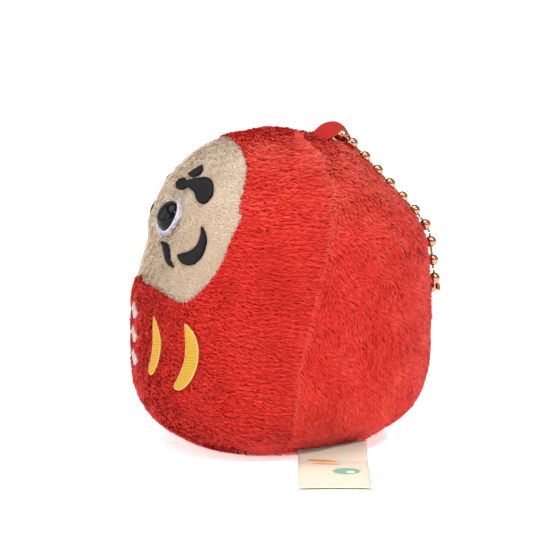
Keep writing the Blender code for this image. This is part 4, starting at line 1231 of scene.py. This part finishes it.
def felt_ring(name, side, materials, rng):
    """Felt ring behind an eye, with its own short fuzz."""
    sides, rows = 72, 7
    place = eye_place(side, 0.0)
    verts, faces = [], []
    for layer in (0, 1):
        for k in range(rows):
            radius = FELT_BORE + (EYE_WHITE_RADIUS - FELT_BORE) * k / (rows - 1)
            edge = k in (0, rows - 1)
            for i in range(sides):
                turn = 2.0 * pi * i / sides
                ripple = 1.0 + 0.03 * sin(5.0 * turn + side) + 0.02 * sin(11.0 * turn)
                flat = place @ Vector((radius * ripple * cos(turn), radius * ripple * sin(turn), 0))
                lift = (0.00015 if edge else 0.0) if layer == 0 else (0.0004 if edge else 0.0006)
                point = Vector((flat.x, float(front_y(flat.x, flat.z)), flat.z))
                verts.append(point + front_normal(flat.x, flat.z) * (lift + 0.0002))
    top = rows * sides
    for k in range(rows - 1):
        for i in range(sides):
            j = (i + 1) % sides
            a, b, c, d = k * sides + i, k * sides + j, (k + 1) * sides + j, (k + 1) * sides + i
            faces += [(a, b, c, d), (top + a, top + d, top + c, top + b)]
    for k in (0, rows - 1):
        for i in range(sides):
            j = (i + 1) % sides
            a, b = k * sides + i, k * sides + j
            faces.append((a, b, top + b, top + a))
    ring = add_mesh(name, verts, faces)
    recalculate(ring)
    count = 1500
    turn = rng.uniform(0.0, 2.0 * pi, count)
    reach = np.sqrt(rng.uniform(0.55, 1.06, count)) * EYE_WHITE_RADIUS
    roots, facing, way = [], [], []
    for t, r in zip(turn, reach):
        flat = place @ Vector((r * cos(t), r * sin(t), 0.0))
        normal = front_normal(flat.x, flat.z)
        point = Vector((flat.x, float(front_y(flat.x, flat.z)), flat.z)) + normal * 0.0005
        out = (place.to_3x3() @ Vector((cos(t + 0.5), sin(t + 0.5), 0.0))).normalized()
        roots.append(point)
        facing.append(normal)
        way.append(out)
    fuzz = tuft_object(f"{name}_fuzz", np.array(roots), np.array(facing), np.array(way),
                       rng.uniform(0.0005, 0.0009, count), rng.uniform(0.4, 1.0, count),
                       np.full(count, 0.00012), rng.uniform(0.3, 0.9, count), rng)
    give(fuzz, materials["felt_pile"], "root", "white_felt")
    return ring


def make_eyes(settings, materials):
    """Both eyes, each dome on its felt ring."""
    rng = np.random.default_rng(settings.seed + 1)
    for side, word in ((1, "left"), (-1, "right")):
        eye = make_eye(f"eye_{word}_dome")
        eye.data.transform(eye_place(side, EYE_SEAT[side]))
        give(eye, materials["black_plastic"], "root", "black_plastic", f"eye_{word}")
        ring = felt_ring(f"eye_{word}_felt", side, materials, rng)
        give(ring, materials["felt"], "root", "white_felt", f"eye_white_{word}")


# ================================================================ ribbon
def make_ribbon(trims, materials):
    """Folded satin loop: it leaves the seam, turns round the chain and goes back in."""
    line = [(y, top_height(0.0, y) + lift) for y, lift in RIBBON_LOOP]
    path = smooth_curve(line, 8)
    count, across = len(path), 12
    half = 0.5 * RIBBON_WIDTH
    verts, uvs, faces, run = [], [], [], 0.0
    for i, (y, z) in enumerate(path):
        t = i / (count - 1)
        before, after = path[max(0, i - 1)], path[min(count - 1, i + 1)]
        along = Vector((0.0, after[0] - before[0], after[1] - before[1])).normalized()
        roll = radians(np.interp(t, [0.0, 0.3, 0.5, 0.75, 1.0], [10.0, 8.0, 17.0, 30.0, 17.0]))
        wide = Vector((cos(roll), 0.0, -sin(roll)))
        wide = (wide - along * wide.dot(along)).normalized()
        out = wide.cross(along)
        if i:
            run += hypot(y - path[i - 1][0], z - path[i - 1][1])
        for k in range(across + 1):
            s = 2.0 * k / across - 1.0
            cup = 0.00022 * s * s * sin(pi * t) + 0.00006 * sin(9.0 * s + 14.0 * t)
            verts.append(Vector((RIBBON_X, y, z)) + wide * (s * half * 0.97) + out * cup)
            uvs.append((s * half / MM, run / MM))
    for i in range(count - 1):
        for k in range(across):
            a = i * (across + 1) + k
            faces.append((a, a + 1, a + across + 2, a + across + 1))
    ribbon = add_mesh("satin_ribbon", verts, faces)
    put_map(ribbon, "Tape", uvs)
    wall = ribbon.modifiers.new("wall", 'SOLIDIFY')
    wall.thickness = trims.ribbon_thickness
    wall.offset = 0.0
    rounded = ribbon.modifiers.new("rounded", 'BEVEL')
    rounded.width = 0.00008
    rounded.segments = 2
    rounded.limit_method = 'ANGLE'
    apply_modifiers(ribbon)
    ribbon.data.shade_smooth()
    give(ribbon, materials["red_satin"], None, "red_satin", "ribbon_loop")
    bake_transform(ribbon)


# ================================================================ ball chain
def bow_point(arc):
    """Point (across, down) at an arc length from the middle of the chain's turn."""
    straight = STRAND_HALF_SPACING - BOW_RADIUS
    bend = straight + 0.5 * pi * BOW_RADIUS
    sign, reach = (1.0 if arc >= 0 else -1.0), abs(arc)
    if reach <= straight:
        return Vector((arc, 0.0))
    if reach <= bend:
        angle = (reach - straight) / BOW_RADIUS
        return Vector((sign * (straight + BOW_RADIUS * sin(angle)),
                       BOW_RADIUS * (1.0 - cos(angle))))
    return Vector((sign * STRAND_HALF_SPACING, BOW_RADIUS + reach - bend))


def run_place(start, end):
    """Carries (across, down, out) into the doll for a run from start to end in the YZ plane."""
    down = Vector((0.0, end[1] - start[1], end[2] - start[2])).normalized()
    out = Vector((1.0, 0.0, 0.0)).cross(down)
    matrix = Matrix(((1.0, down.x, out.x), (0.0, down.y, out.y), (0.0, down.z, out.z))).to_4x4()
    matrix.translation = Vector((RIBBON_X, start[1], start[2]))
    return matrix


def make_bead():
    """Hollow bead: a ball with a turned-in hole at each end of its Z axis."""
    deselect_all()
    bpy.ops.mesh.primitive_uv_sphere_add(segments=32, ring_count=20, radius=BEAD_RADIUS)
    bead = bpy.context.active_object
    bead.name = "bead"
    bm = bmesh.new()
    bm.from_mesh(bead.data)
    ends = [f for f in bm.faces if abs(f.calc_center_median().z) > 0.962 * BEAD_RADIUS]
    bmesh.ops.inset_region(bm, faces=ends, thickness=0.00006, depth=0.00005)
    for face in ends:
        for vert in face.verts:
            vert.co.z *= 0.86
    for vert in bm.verts:
        if abs(vert.co.z) < 0.00009:
            vert.co.x *= 0.988
            vert.co.y *= 0.988
    bm.to_mesh(bead.data)
    bm.free()
    bead.data.shade_smooth()
    return bead


def wire(start, end, sides=10):
    """Thin link between two points, with a small collar at each end."""
    along = end - start
    turn = along.to_track_quat('Z', 'Y').to_matrix().to_4x4()
    turn.translation = start
    length = along.length
    profile = [(0.0, 0.0), (1.25, 0.0), (1.25, 0.00010), (0.95, 0.00022),
               (0.95, length - 0.00022), (1.25, length - 0.00010), (1.25, length), (0.0, length)]
    verts, faces = [], []
    for scale, z in profile:
        for k in range(sides):
            a = 2.0 * pi * k / sides
            radius = max(scale * WIRE_RADIUS, 0.000002)
            verts.append(turn @ Vector((radius * cos(a), radius * sin(a), z)))
    for r in range(len(profile) - 1):
        a, b = r * sides, (r + 1) * sides
        faces += [(a + k, a + (k + 1) % sides, b + (k + 1) % sides, b + k) for k in range(sides)]
    faces.append(tuple(reversed(range(sides))))
    last = (len(profile) - 1) * sides
    faces.append(tuple(range(last, last + sides)))
    return add_mesh("link", verts, faces)


def strand(name, bead, beads, ends, point, place):
    """Beads at arc lengths along a path, joined by links; ends are the path's two ends."""
    made = []
    for arc in beads:
        here, near = point(arc), point(arc + 0.00001) - point(arc - 0.00001)
        along = place.to_3x3() @ Vector((near.x, near.y, 0.0))
        turn = along.to_track_quat('Z', 'Y').to_matrix().to_4x4()
        turn.translation = place @ Vector((here.x, here.y, 0.0))
        made.append(copy_at(bead, turn))
    stops = [ends[0]] + [b + s * 0.93 * BEAD_RADIUS for b in beads for s in (-1, 1)] + [ends[1]]
    for a, b in zip(stops[::2], stops[1::2]):
        if abs(b - a) < 0.0001:
            continue
        pieces = max(1, int(round(abs(b - a) / 0.0006)))
        marks = [a + (b - a) * i / pieces for i in range(pieces + 1)] if bent(a, b) else [a, b]
        for start, end in zip(marks, marks[1:]):
            p, q = point(start), point(end)
            made.append(wire(place @ Vector((p.x, p.y, 0.0)), place @ Vector((q.x, q.y, 0.0))))
    return join(name, made)


def bent(a, b):
    """True where a link lies on one of the turn's two bends."""
    straight = STRAND_HALF_SPACING - BOW_RADIUS
    reach = max(abs(a), abs(b))
    return straight < reach and min(abs(a), abs(b)) < straight + 0.5 * pi * BOW_RADIUS


def make_chain(materials):
    """The chain's turn through the ribbon, its two strands down the back, and its closed end."""
    gold = materials["gold"]
    bead = make_bead()
    pivots = [JOINTS[name]["pos_m"] for name in
              ("chain_lift", "chain_bend_1", "chain_bend_2", "chain_unclip")]
    reach = (TOP_BEADS + 1) * BEAD_PITCH
    beads = sorted(s * (0.5 + i) * BEAD_PITCH for i in range(TOP_BEADS + 1) for s in (-1, 1))
    place = run_place(pivots[0], pivots[1])
    top = strand("ball_chain_top", bead, beads, (-reach + 0.5 * GAP, reach - 0.5 * GAP),
                 bow_point, place)
    give(top, gold, "chain_1", "gold", "chain_top")
    for index, (node_name, body) in enumerate((("chain_mid", "chain_2"), ("chain_low", "chain_3"))):
        start, end = pivots[index + 1], pivots[index + 2]
        place = run_place(start, end)
        length = hypot(end[1] - start[1], end[2] - start[2])
        count = int(round(length / BEAD_PITCH))
        for side, word in ((1, "left"), (-1, "right")):
            x = side * STRAND_HALF_SPACING
            made = strand(f"ball_{node_name}_{word}", bead,
                          [(0.5 + i) * BEAD_PITCH for i in range(count)],
                          (0.5 * GAP, length - 0.5 * GAP), lambda arc, x=x: Vector((x, arc)), place)
            give(made, gold, body, "gold", f"{node_name}_{word}")
    make_tail(bead, gold, pivots[3])
    bpy.data.objects.remove(bead)


def make_tail(bead, gold, start):
    """The last two beads on each side, turned in to meet in the clasp."""
    axis = Vector(JOINTS["chain_unclip"]["axis"])
    down = Vector((1.0, 0.0, 0.0)).cross(axis)
    if down.z > 0:
        down.negate()
    place = run_place(start, Vector(start) + down)
    depth = bow_point(2 * BEAD_PITCH).y
    stub = 0.5 * BEAD_PITCH - BEAD_RADIUS - 0.0002

    def point(arc):
        flat = bow_point(arc)
        return Vector((flat.x, depth - flat.y))

    for side, word, body in ((1, "left", "chain_3"), (-1, "right", "chain_end")):
        beads = sorted(side * (0.5 + i) * BEAD_PITCH for i in range(2))
        ends = sorted((side * stub, side * (2 * BEAD_PITCH - 0.5 * GAP)))
        made = strand(f"ball_chain_tail_{word}", bead, beads, ends, point, place)
        give(made, gold, body, "gold", f"chain_tail_{word}")
    clasp = make_clasp(place, depth)
    give(clasp, gold, "chain_3", "gold", "chain_clasp")


def make_clasp(place, depth):
    """Folded sheet-metal trough with waisted ends and rolled edges, open on its lower side."""
    half_open, steps, rows = radians(55.0), 28, 24
    verts, faces = [], []
    for r in range(rows + 1):
        t = 2.0 * r / rows - 1.0
        x = t * CLASP_HALF_LENGTH
        pinch = 1.0 - 0.16 * max(0.0, (abs(t) - 0.80) / 0.20) ** 2 - 0.05 * np.exp(-(t / 0.12) ** 2)
        for i in range(steps + 1):
            turn = half_open + (2.0 * pi - 2.0 * half_open) * i / steps
            radius = (CLASP_BORE + 0.5 * CLASP_SHEET) * pinch
            verts.append(place @ Vector((x, depth + radius * cos(turn), radius * sin(turn))))
    for r in range(rows):
        for i in range(steps):
            a = r * (steps + 1) + i
            faces.append((a, a + 1, a + steps + 2, a + steps + 1))
    clasp = add_mesh("chain_clasp_shell", verts, faces)
    wall = clasp.modifiers.new("sheet", 'SOLIDIFY')
    wall.thickness = CLASP_SHEET
    wall.offset = 0.0
    rounded = clasp.modifiers.new("rolled", 'BEVEL')
    rounded.width = 0.00006
    rounded.segments = 2
    rounded.limit_method = 'ANGLE'
    apply_modifiers(clasp)
    recalculate(clasp)
    make_active(clasp)
    bpy.ops.object.shade_smooth_by_angle(angle=radians(40.0))
    return clasp


# ================================================================ label
def label_page(name, level, end, trims):
    """One page of satin tape: out of the seam, down to the floor and flat along it."""
    root_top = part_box("label_root")[1].z
    lift = 0.00012 + level * PAGE_STEP
    fold = LABEL_FOLD
    line = [(-0.0050, root_top - 0.0006 + 0.2 * lift), (-0.0015, 0.00215 + 0.5 * lift),
            (0.0015, 0.00125 + 0.8 * lift), (fold - 0.0012, 0.00030 + lift),
            (fold + 0.0010, 0.00008 + lift), (0.5 * (fold + end), 0.00006 + lift),
            (end - 0.004, 0.00008 + lift), (end, 0.00012 + lift + 0.0001 * level)]
    path = smooth_curve(line, 7)
    across, half = 16, 0.5 * LABEL_WIDTH
    place = Matrix.Translation(LABEL_ROOT) @ Matrix.Rotation(LABEL_TURN, 4, 'Z')
    verts, uvs, faces = [], [], []
    for i, (x, z) in enumerate(path):
        for k in range(across + 1):
            s = 2.0 * k / across - 1.0
            flat = np.clip((x - fold) / 0.004, 0.0, 1.0)
            ripple = 0.00007 * flat * (1.0 + sin(2.2 * s + 260.0 * x))
            verts.append(place @ Vector((x, s * half, z + ripple)))
            uvs.append((s * half / MM, x / MM))
    for i in range(len(path) - 1):
        for k in range(across):
            a = i * (across + 1) + k
            faces.append((a, a + across + 1, a + across + 2, a + 1))
    page = add_mesh(name, verts, faces)
    recalculate_up(page)
    put_map(page, "Tape", uvs)
    wall = page.modifiers.new("wall", 'SOLIDIFY')
    wall.thickness = trims.page_thickness
    wall.offset = 0.0
    apply_modifiers(page)
    for vert in page.data.vertices:
        vert.co.z = max(vert.co.z, 0.00002)
    return page


def recalculate_up(obj):
    """Turns an open sheet so that its faces look up."""
    if sum(p.normal.z for p in obj.data.polygons) < 0:
        obj.data.flip_normals()


def make_label(trims, materials):
    """Both pages; the upper one is printed."""
    for name, level, end, nodes in (
            ("label_lower_page", 0, 0.0300, ("label_back_page",)),
            ("label_upper_page", 1, 0.0290, ("label_front_page", "label_root"))):
        page = label_page(name, level, end, trims)
        look = "label_printed" if level else "label_satin"
        give(page, materials[look], None, "label_satin", *nodes)
        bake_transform(page)


# ================================================================ stage
def make_stage(settings):
    """Pale floor, white surroundings, soft lights and the camera."""
    deselect_all()
    bpy.ops.mesh.primitive_plane_add(size=6.0, location=(0.0, 0.0, 0.0))
    floor = bpy.context.active_object
    floor.name = "floor"
    settle(floor)
    material, tree, shader = new_material("floor_paper", (0.93, 0.925, 0.92), 0.75)
    tone = ramp(tree, object_noise(tree, 6.0), [(0.3, (0.925, 0.92, 0.915)),
                                                (0.7, (0.935, 0.93, 0.925))])
    tree.links.new(tone, shader.inputs["Base Color"])
    shader.inputs["Emission Color"].default_value = (1.0, 0.99, 0.985, 1.0)
    shader.inputs["Emission Strength"].default_value = 0.60
    floor.data.materials.append(material)
    make_sky(settings)
    aim = Vector((0.0, 0.0, 0.035))
    view = Vector((sin(settings.azimuth), -cos(settings.azimuth), 0.0))
    right = Vector((cos(settings.azimuth), sin(settings.azimuth), 0.0))
    add_light("key", aim + view * 0.42 + right * 0.30 + Vector((0, 0, 0.42)), aim, 0.05,
              settings.key)
    add_light("fill", aim + view * 0.45 - right * 0.50 + Vector((0, 0, 0.22)), aim, 0.45,
              settings.fill)
    add_light("left", aim - right * 0.70 + Vector((0, 0, 0.30)), aim, 0.5, settings.fill)
    sun = bpy.data.lights.new("overhead", 'SUN')
    sun.energy = settings.overhead
    sun.angle = radians(50.0)
    above = bpy.data.objects.new("overhead", sun)
    above.rotation_euler = (radians(12.0), radians(14.0), 0.0)
    bpy.context.scene.collection.objects.link(above)
    make_camera(settings, aim)


def make_sky(settings):
    """White behind the doll, and a dimmer even light from all round on it."""
    world = bpy.data.worlds.new("sky")
    world.use_nodes = True
    tree = world.node_tree
    light = tree.nodes["Background"]
    light.inputs["Color"].default_value = (1.0, 1.0, 1.0, 1.0)
    light.inputs["Strength"].default_value = settings.sky
    white = node(tree, "ShaderNodeBackground", Strength=1.0)
    white.inputs["Color"].default_value = (1.0, 1.0, 1.0, 1.0)
    seen = tree.nodes.new("ShaderNodeLightPath")
    both = tree.nodes.new("ShaderNodeMixShader")
    tree.links.new(seen.outputs["Is Camera Ray"], both.inputs[0])
    tree.links.new(light.outputs[0], both.inputs[1])
    tree.links.new(white.outputs[0], both.inputs[2])
    tree.links.new(both.outputs[0], tree.nodes["World Output"].inputs["Surface"])
    bpy.context.scene.world = world


def add_light(name, place, aim, size, power):
    """Square soft light turned to the doll."""
    data = bpy.data.lights.new(name, 'AREA')
    data.shape = 'SQUARE'
    data.size = size
    data.energy = power
    light = bpy.data.objects.new(name, data)
    light.location = place
    light.rotation_mode = 'QUATERNION'
    light.rotation_quaternion = (aim - place).to_track_quat('-Z', 'Y')
    bpy.context.scene.collection.objects.link(light)


def make_camera(settings, aim):
    """The camera, turned to the doll's middle."""
    back = Vector((sin(settings.azimuth) * cos(settings.elevation),
                   -cos(settings.azimuth) * cos(settings.elevation), sin(settings.elevation)))
    data = bpy.data.cameras.new("camera")
    data.sensor_width = 36.0
    data.lens = settings.lens
    data.shift_x = -0.0091
    data.clip_start, data.clip_end = 0.01, 20.0
    camera = bpy.data.objects.new("camera", data)
    camera.location = aim + back * settings.distance
    camera.rotation_mode = 'QUATERNION'
    camera.rotation_quaternion = (-back).to_track_quat('-Z', 'Y')
    bpy.context.scene.collection.objects.link(camera)
    bpy.context.scene.camera = camera
    bpy.context.scene.view_settings.view_transform = 'Standard'


# ================================================================ operators
def finished_looks():
    """The doll's own materials by plain name."""
    return {m.name[len(LOOKS):]: m for m in bpy.data.materials if m.name.startswith(LOOKS)}


def tints(plush, trims):
    """Every material of the doll, made once."""
    if LOOKS + "red_pile" in bpy.data.materials:
        return finished_looks()
    pile_material("red_pile", plush.red_dark, plush.red, plush.red_light)
    pile_material("cream_pile", plush.cream_dark, plush.cream, plush.cream_light)
    pile_material("felt_pile", [0.8 * c for c in trims.felt], trims.felt,
                  [min(1.0, 1.1 * c) for c in trims.felt])
    # The ground cloth is darker than the pile: painted shade in the hollows between the tufts.
    cloth_material("red_cloth", tuple(0.8 * c for c in plush.red_dark), plush.red_dark)
    cloth_material("cream_cloth", tuple(0.9 * c for c in plush.cream_dark), plush.cream_dark)
    thread_material("black_thread", trims.black, tuple(2.2 * c for c in trims.black), 0.5)
    thread_material("black_edge", tuple(0.5 * c for c in trims.black), trims.black, 0.6)
    thread_material("yellow_thread", trims.yellow, tuple(min(1.0, 1.12 * c) for c in trims.yellow))
    thread_material("yellow_edge", trims.yellow_edge, trims.yellow_edge, 0.6)
    thread_material("white_thread", trims.white, trims.white)
    plastic_material("black_plastic", (0.002, 0.002, 0.003), 0.05)
    plastic_material("washer_plastic", (0.7, 0.7, 0.68), 0.45)
    satin_material("red_satin", trims.ribbon, tuple(min(1.0, 1.25 * c) for c in trims.ribbon))
    satin_material("label_satin", trims.label, tuple(min(1.0, 1.08 * c) for c in trims.label))
    printed_satin("label_printed", trims.label, tuple(min(1.0, 1.08 * c) for c in trims.label),
                  (0.78, 0.36, 0.12), (0.22, 0.48, 0.36))
    gold_material("gold", trims.gold)
    fibre_material("filling", (0.85, 0.85, 0.82))
    fibre_material("felt", tuple(trims.felt))
    return finished_looks()


class DARUMA_OT_body(bpy.types.Operator):
    """Swell the stuffed skin, cut it into its panels and cover it with pile"""
    bl_idname = "daruma.body"
    bl_label = "Body and pile"

    def execute(self, context):
        plush = context.scene.daruma_plush
        materials = tints(plush, context.scene.daruma_trims)
        skin = make_skin(plush)
        make_pile(skin, plush, materials)
        split_skin(skin, materials)
        skin.hide_render = skin.hide_viewport = True
        return {'FINISHED'}


class DARUMA_OT_marks(bpy.types.Operator):
    """Stitch the brows, cheeks, moustache, stripes and chest lozenges onto the skin"""
    bl_idname = "daruma.marks"
    bl_label = "Sewn marks"

    def execute(self, context):
        trims = context.scene.daruma_trims
        skin = bpy.data.objects["skin"]
        make_marks(Ground(skin), trims, tints(context.scene.daruma_plush, trims))
        bpy.data.objects.remove(skin)
        return {'FINISHED'}


class DARUMA_OT_eyes(bpy.types.Operator):
    """Set the two domed eyes on their felt rings"""
    bl_idname = "daruma.eyes"
    bl_label = "Eyes"

    def execute(self, context):
        plush = context.scene.daruma_plush
        make_eyes(plush, tints(plush, context.scene.daruma_trims))
        return {'FINISHED'}


class DARUMA_OT_ribbon(bpy.types.Operator):
    """Fold the satin ribbon into its loop at the crown"""
    bl_idname = "daruma.ribbon"
    bl_label = "Ribbon"

    def execute(self, context):
        trims = context.scene.daruma_trims
        make_ribbon(trims, tints(context.scene.daruma_plush, trims))
        return {'FINISHED'}


class DARUMA_OT_chain(bpy.types.Operator):
    """Hang the ball chain and its clasp through the ribbon"""
    bl_idname = "daruma.chain"
    bl_label = "Ball chain"

    def execute(self, context):
        scene = context.scene
        make_chain(tints(scene.daruma_plush, scene.daruma_trims))
        return {'FINISHED'}


class DARUMA_OT_label(bpy.types.Operator):
    """Lay the two pages of the sewn-in label"""
    bl_idname = "daruma.label"
    bl_label = "Label"

    def execute(self, context):
        trims = context.scene.daruma_trims
        make_label(trims, tints(context.scene.daruma_plush, trims))
        return {'FINISHED'}


class DARUMA_OT_inside(bpy.types.Operator):
    """Finish the hidden pieces: filling, washers and the ribbon's sewn ends"""
    bl_idname = "daruma.inside"
    bl_label = "Hidden pieces"

    def execute(self, context):
        scene = context.scene
        materials = tints(scene.daruma_plush, scene.daruma_trims)
        for name, material in (("stuffing", "filling"), ("eye_washer_left", "washer_plastic"),
                               ("eye_washer_right", "washer_plastic"),
                               ("ribbon_ends", "red_satin")):
            mesh = frame["nodes"][name].data
            mesh.materials.clear()
            mesh.materials.append(materials[material])
        return {'FINISHED'}


class DARUMA_OT_stage(bpy.types.Operator):
    """Set the floor, the studio light and the camera"""
    bl_idname = "daruma.stage"
    bl_label = "Stage"

    def execute(self, context):
        make_stage(context.scene.daruma_stage)
        return {'FINISHED'}


STEPS = (DARUMA_OT_stage, DARUMA_OT_body, DARUMA_OT_marks, DARUMA_OT_eyes, DARUMA_OT_ribbon,
         DARUMA_OT_chain, DARUMA_OT_label, DARUMA_OT_inside)


class DARUMA_PT_panel(bpy.types.Panel):
    """Settings and steps of the mascot"""
    bl_idname = "DARUMA_PT_panel"
    bl_label = "Plush daruma mascot"
    bl_space_type = 'VIEW_3D'
    bl_region_type = 'UI'
    bl_category = "Daruma"

    def draw(self, context):
        layout = self.layout
        for step in STEPS:
            layout.operator(step.bl_idname)
        for name in ("daruma_plush", "daruma_trims", "daruma_stage"):
            group = getattr(context.scene, name)
            box = layout.box()
            box.label(text=type(group).__doc__)
            for setting in type(group).__annotations__:
                box.prop(group, setting)


CLASSES = (DarumaPlush, DarumaTrims, DarumaStage, *STEPS, DARUMA_PT_panel)


def register():
    for cls in CLASSES:
        bpy.utils.register_class(cls)
    bpy.types.Scene.daruma_plush = PointerProperty(type=DarumaPlush)
    bpy.types.Scene.daruma_trims = PointerProperty(type=DarumaTrims)
    bpy.types.Scene.daruma_stage = PointerProperty(type=DarumaStage)


def unregister():
    for name in ("daruma_plush", "daruma_trims", "daruma_stage"):
        delattr(bpy.types.Scene, name)
    for cls in reversed(CLASSES):
        bpy.utils.unregister_class(cls)


def main():
    register()
    bpy.ops.daruma.stage()
    bpy.ops.daruma.body()
    bpy.ops.daruma.marks()
    bpy.ops.daruma.eyes()
    bpy.ops.daruma.ribbon()
    bpy.ops.daruma.chain()
    bpy.ops.daruma.label()
    bpy.ops.daruma.inside()


if __name__ == "__main__":
    main()
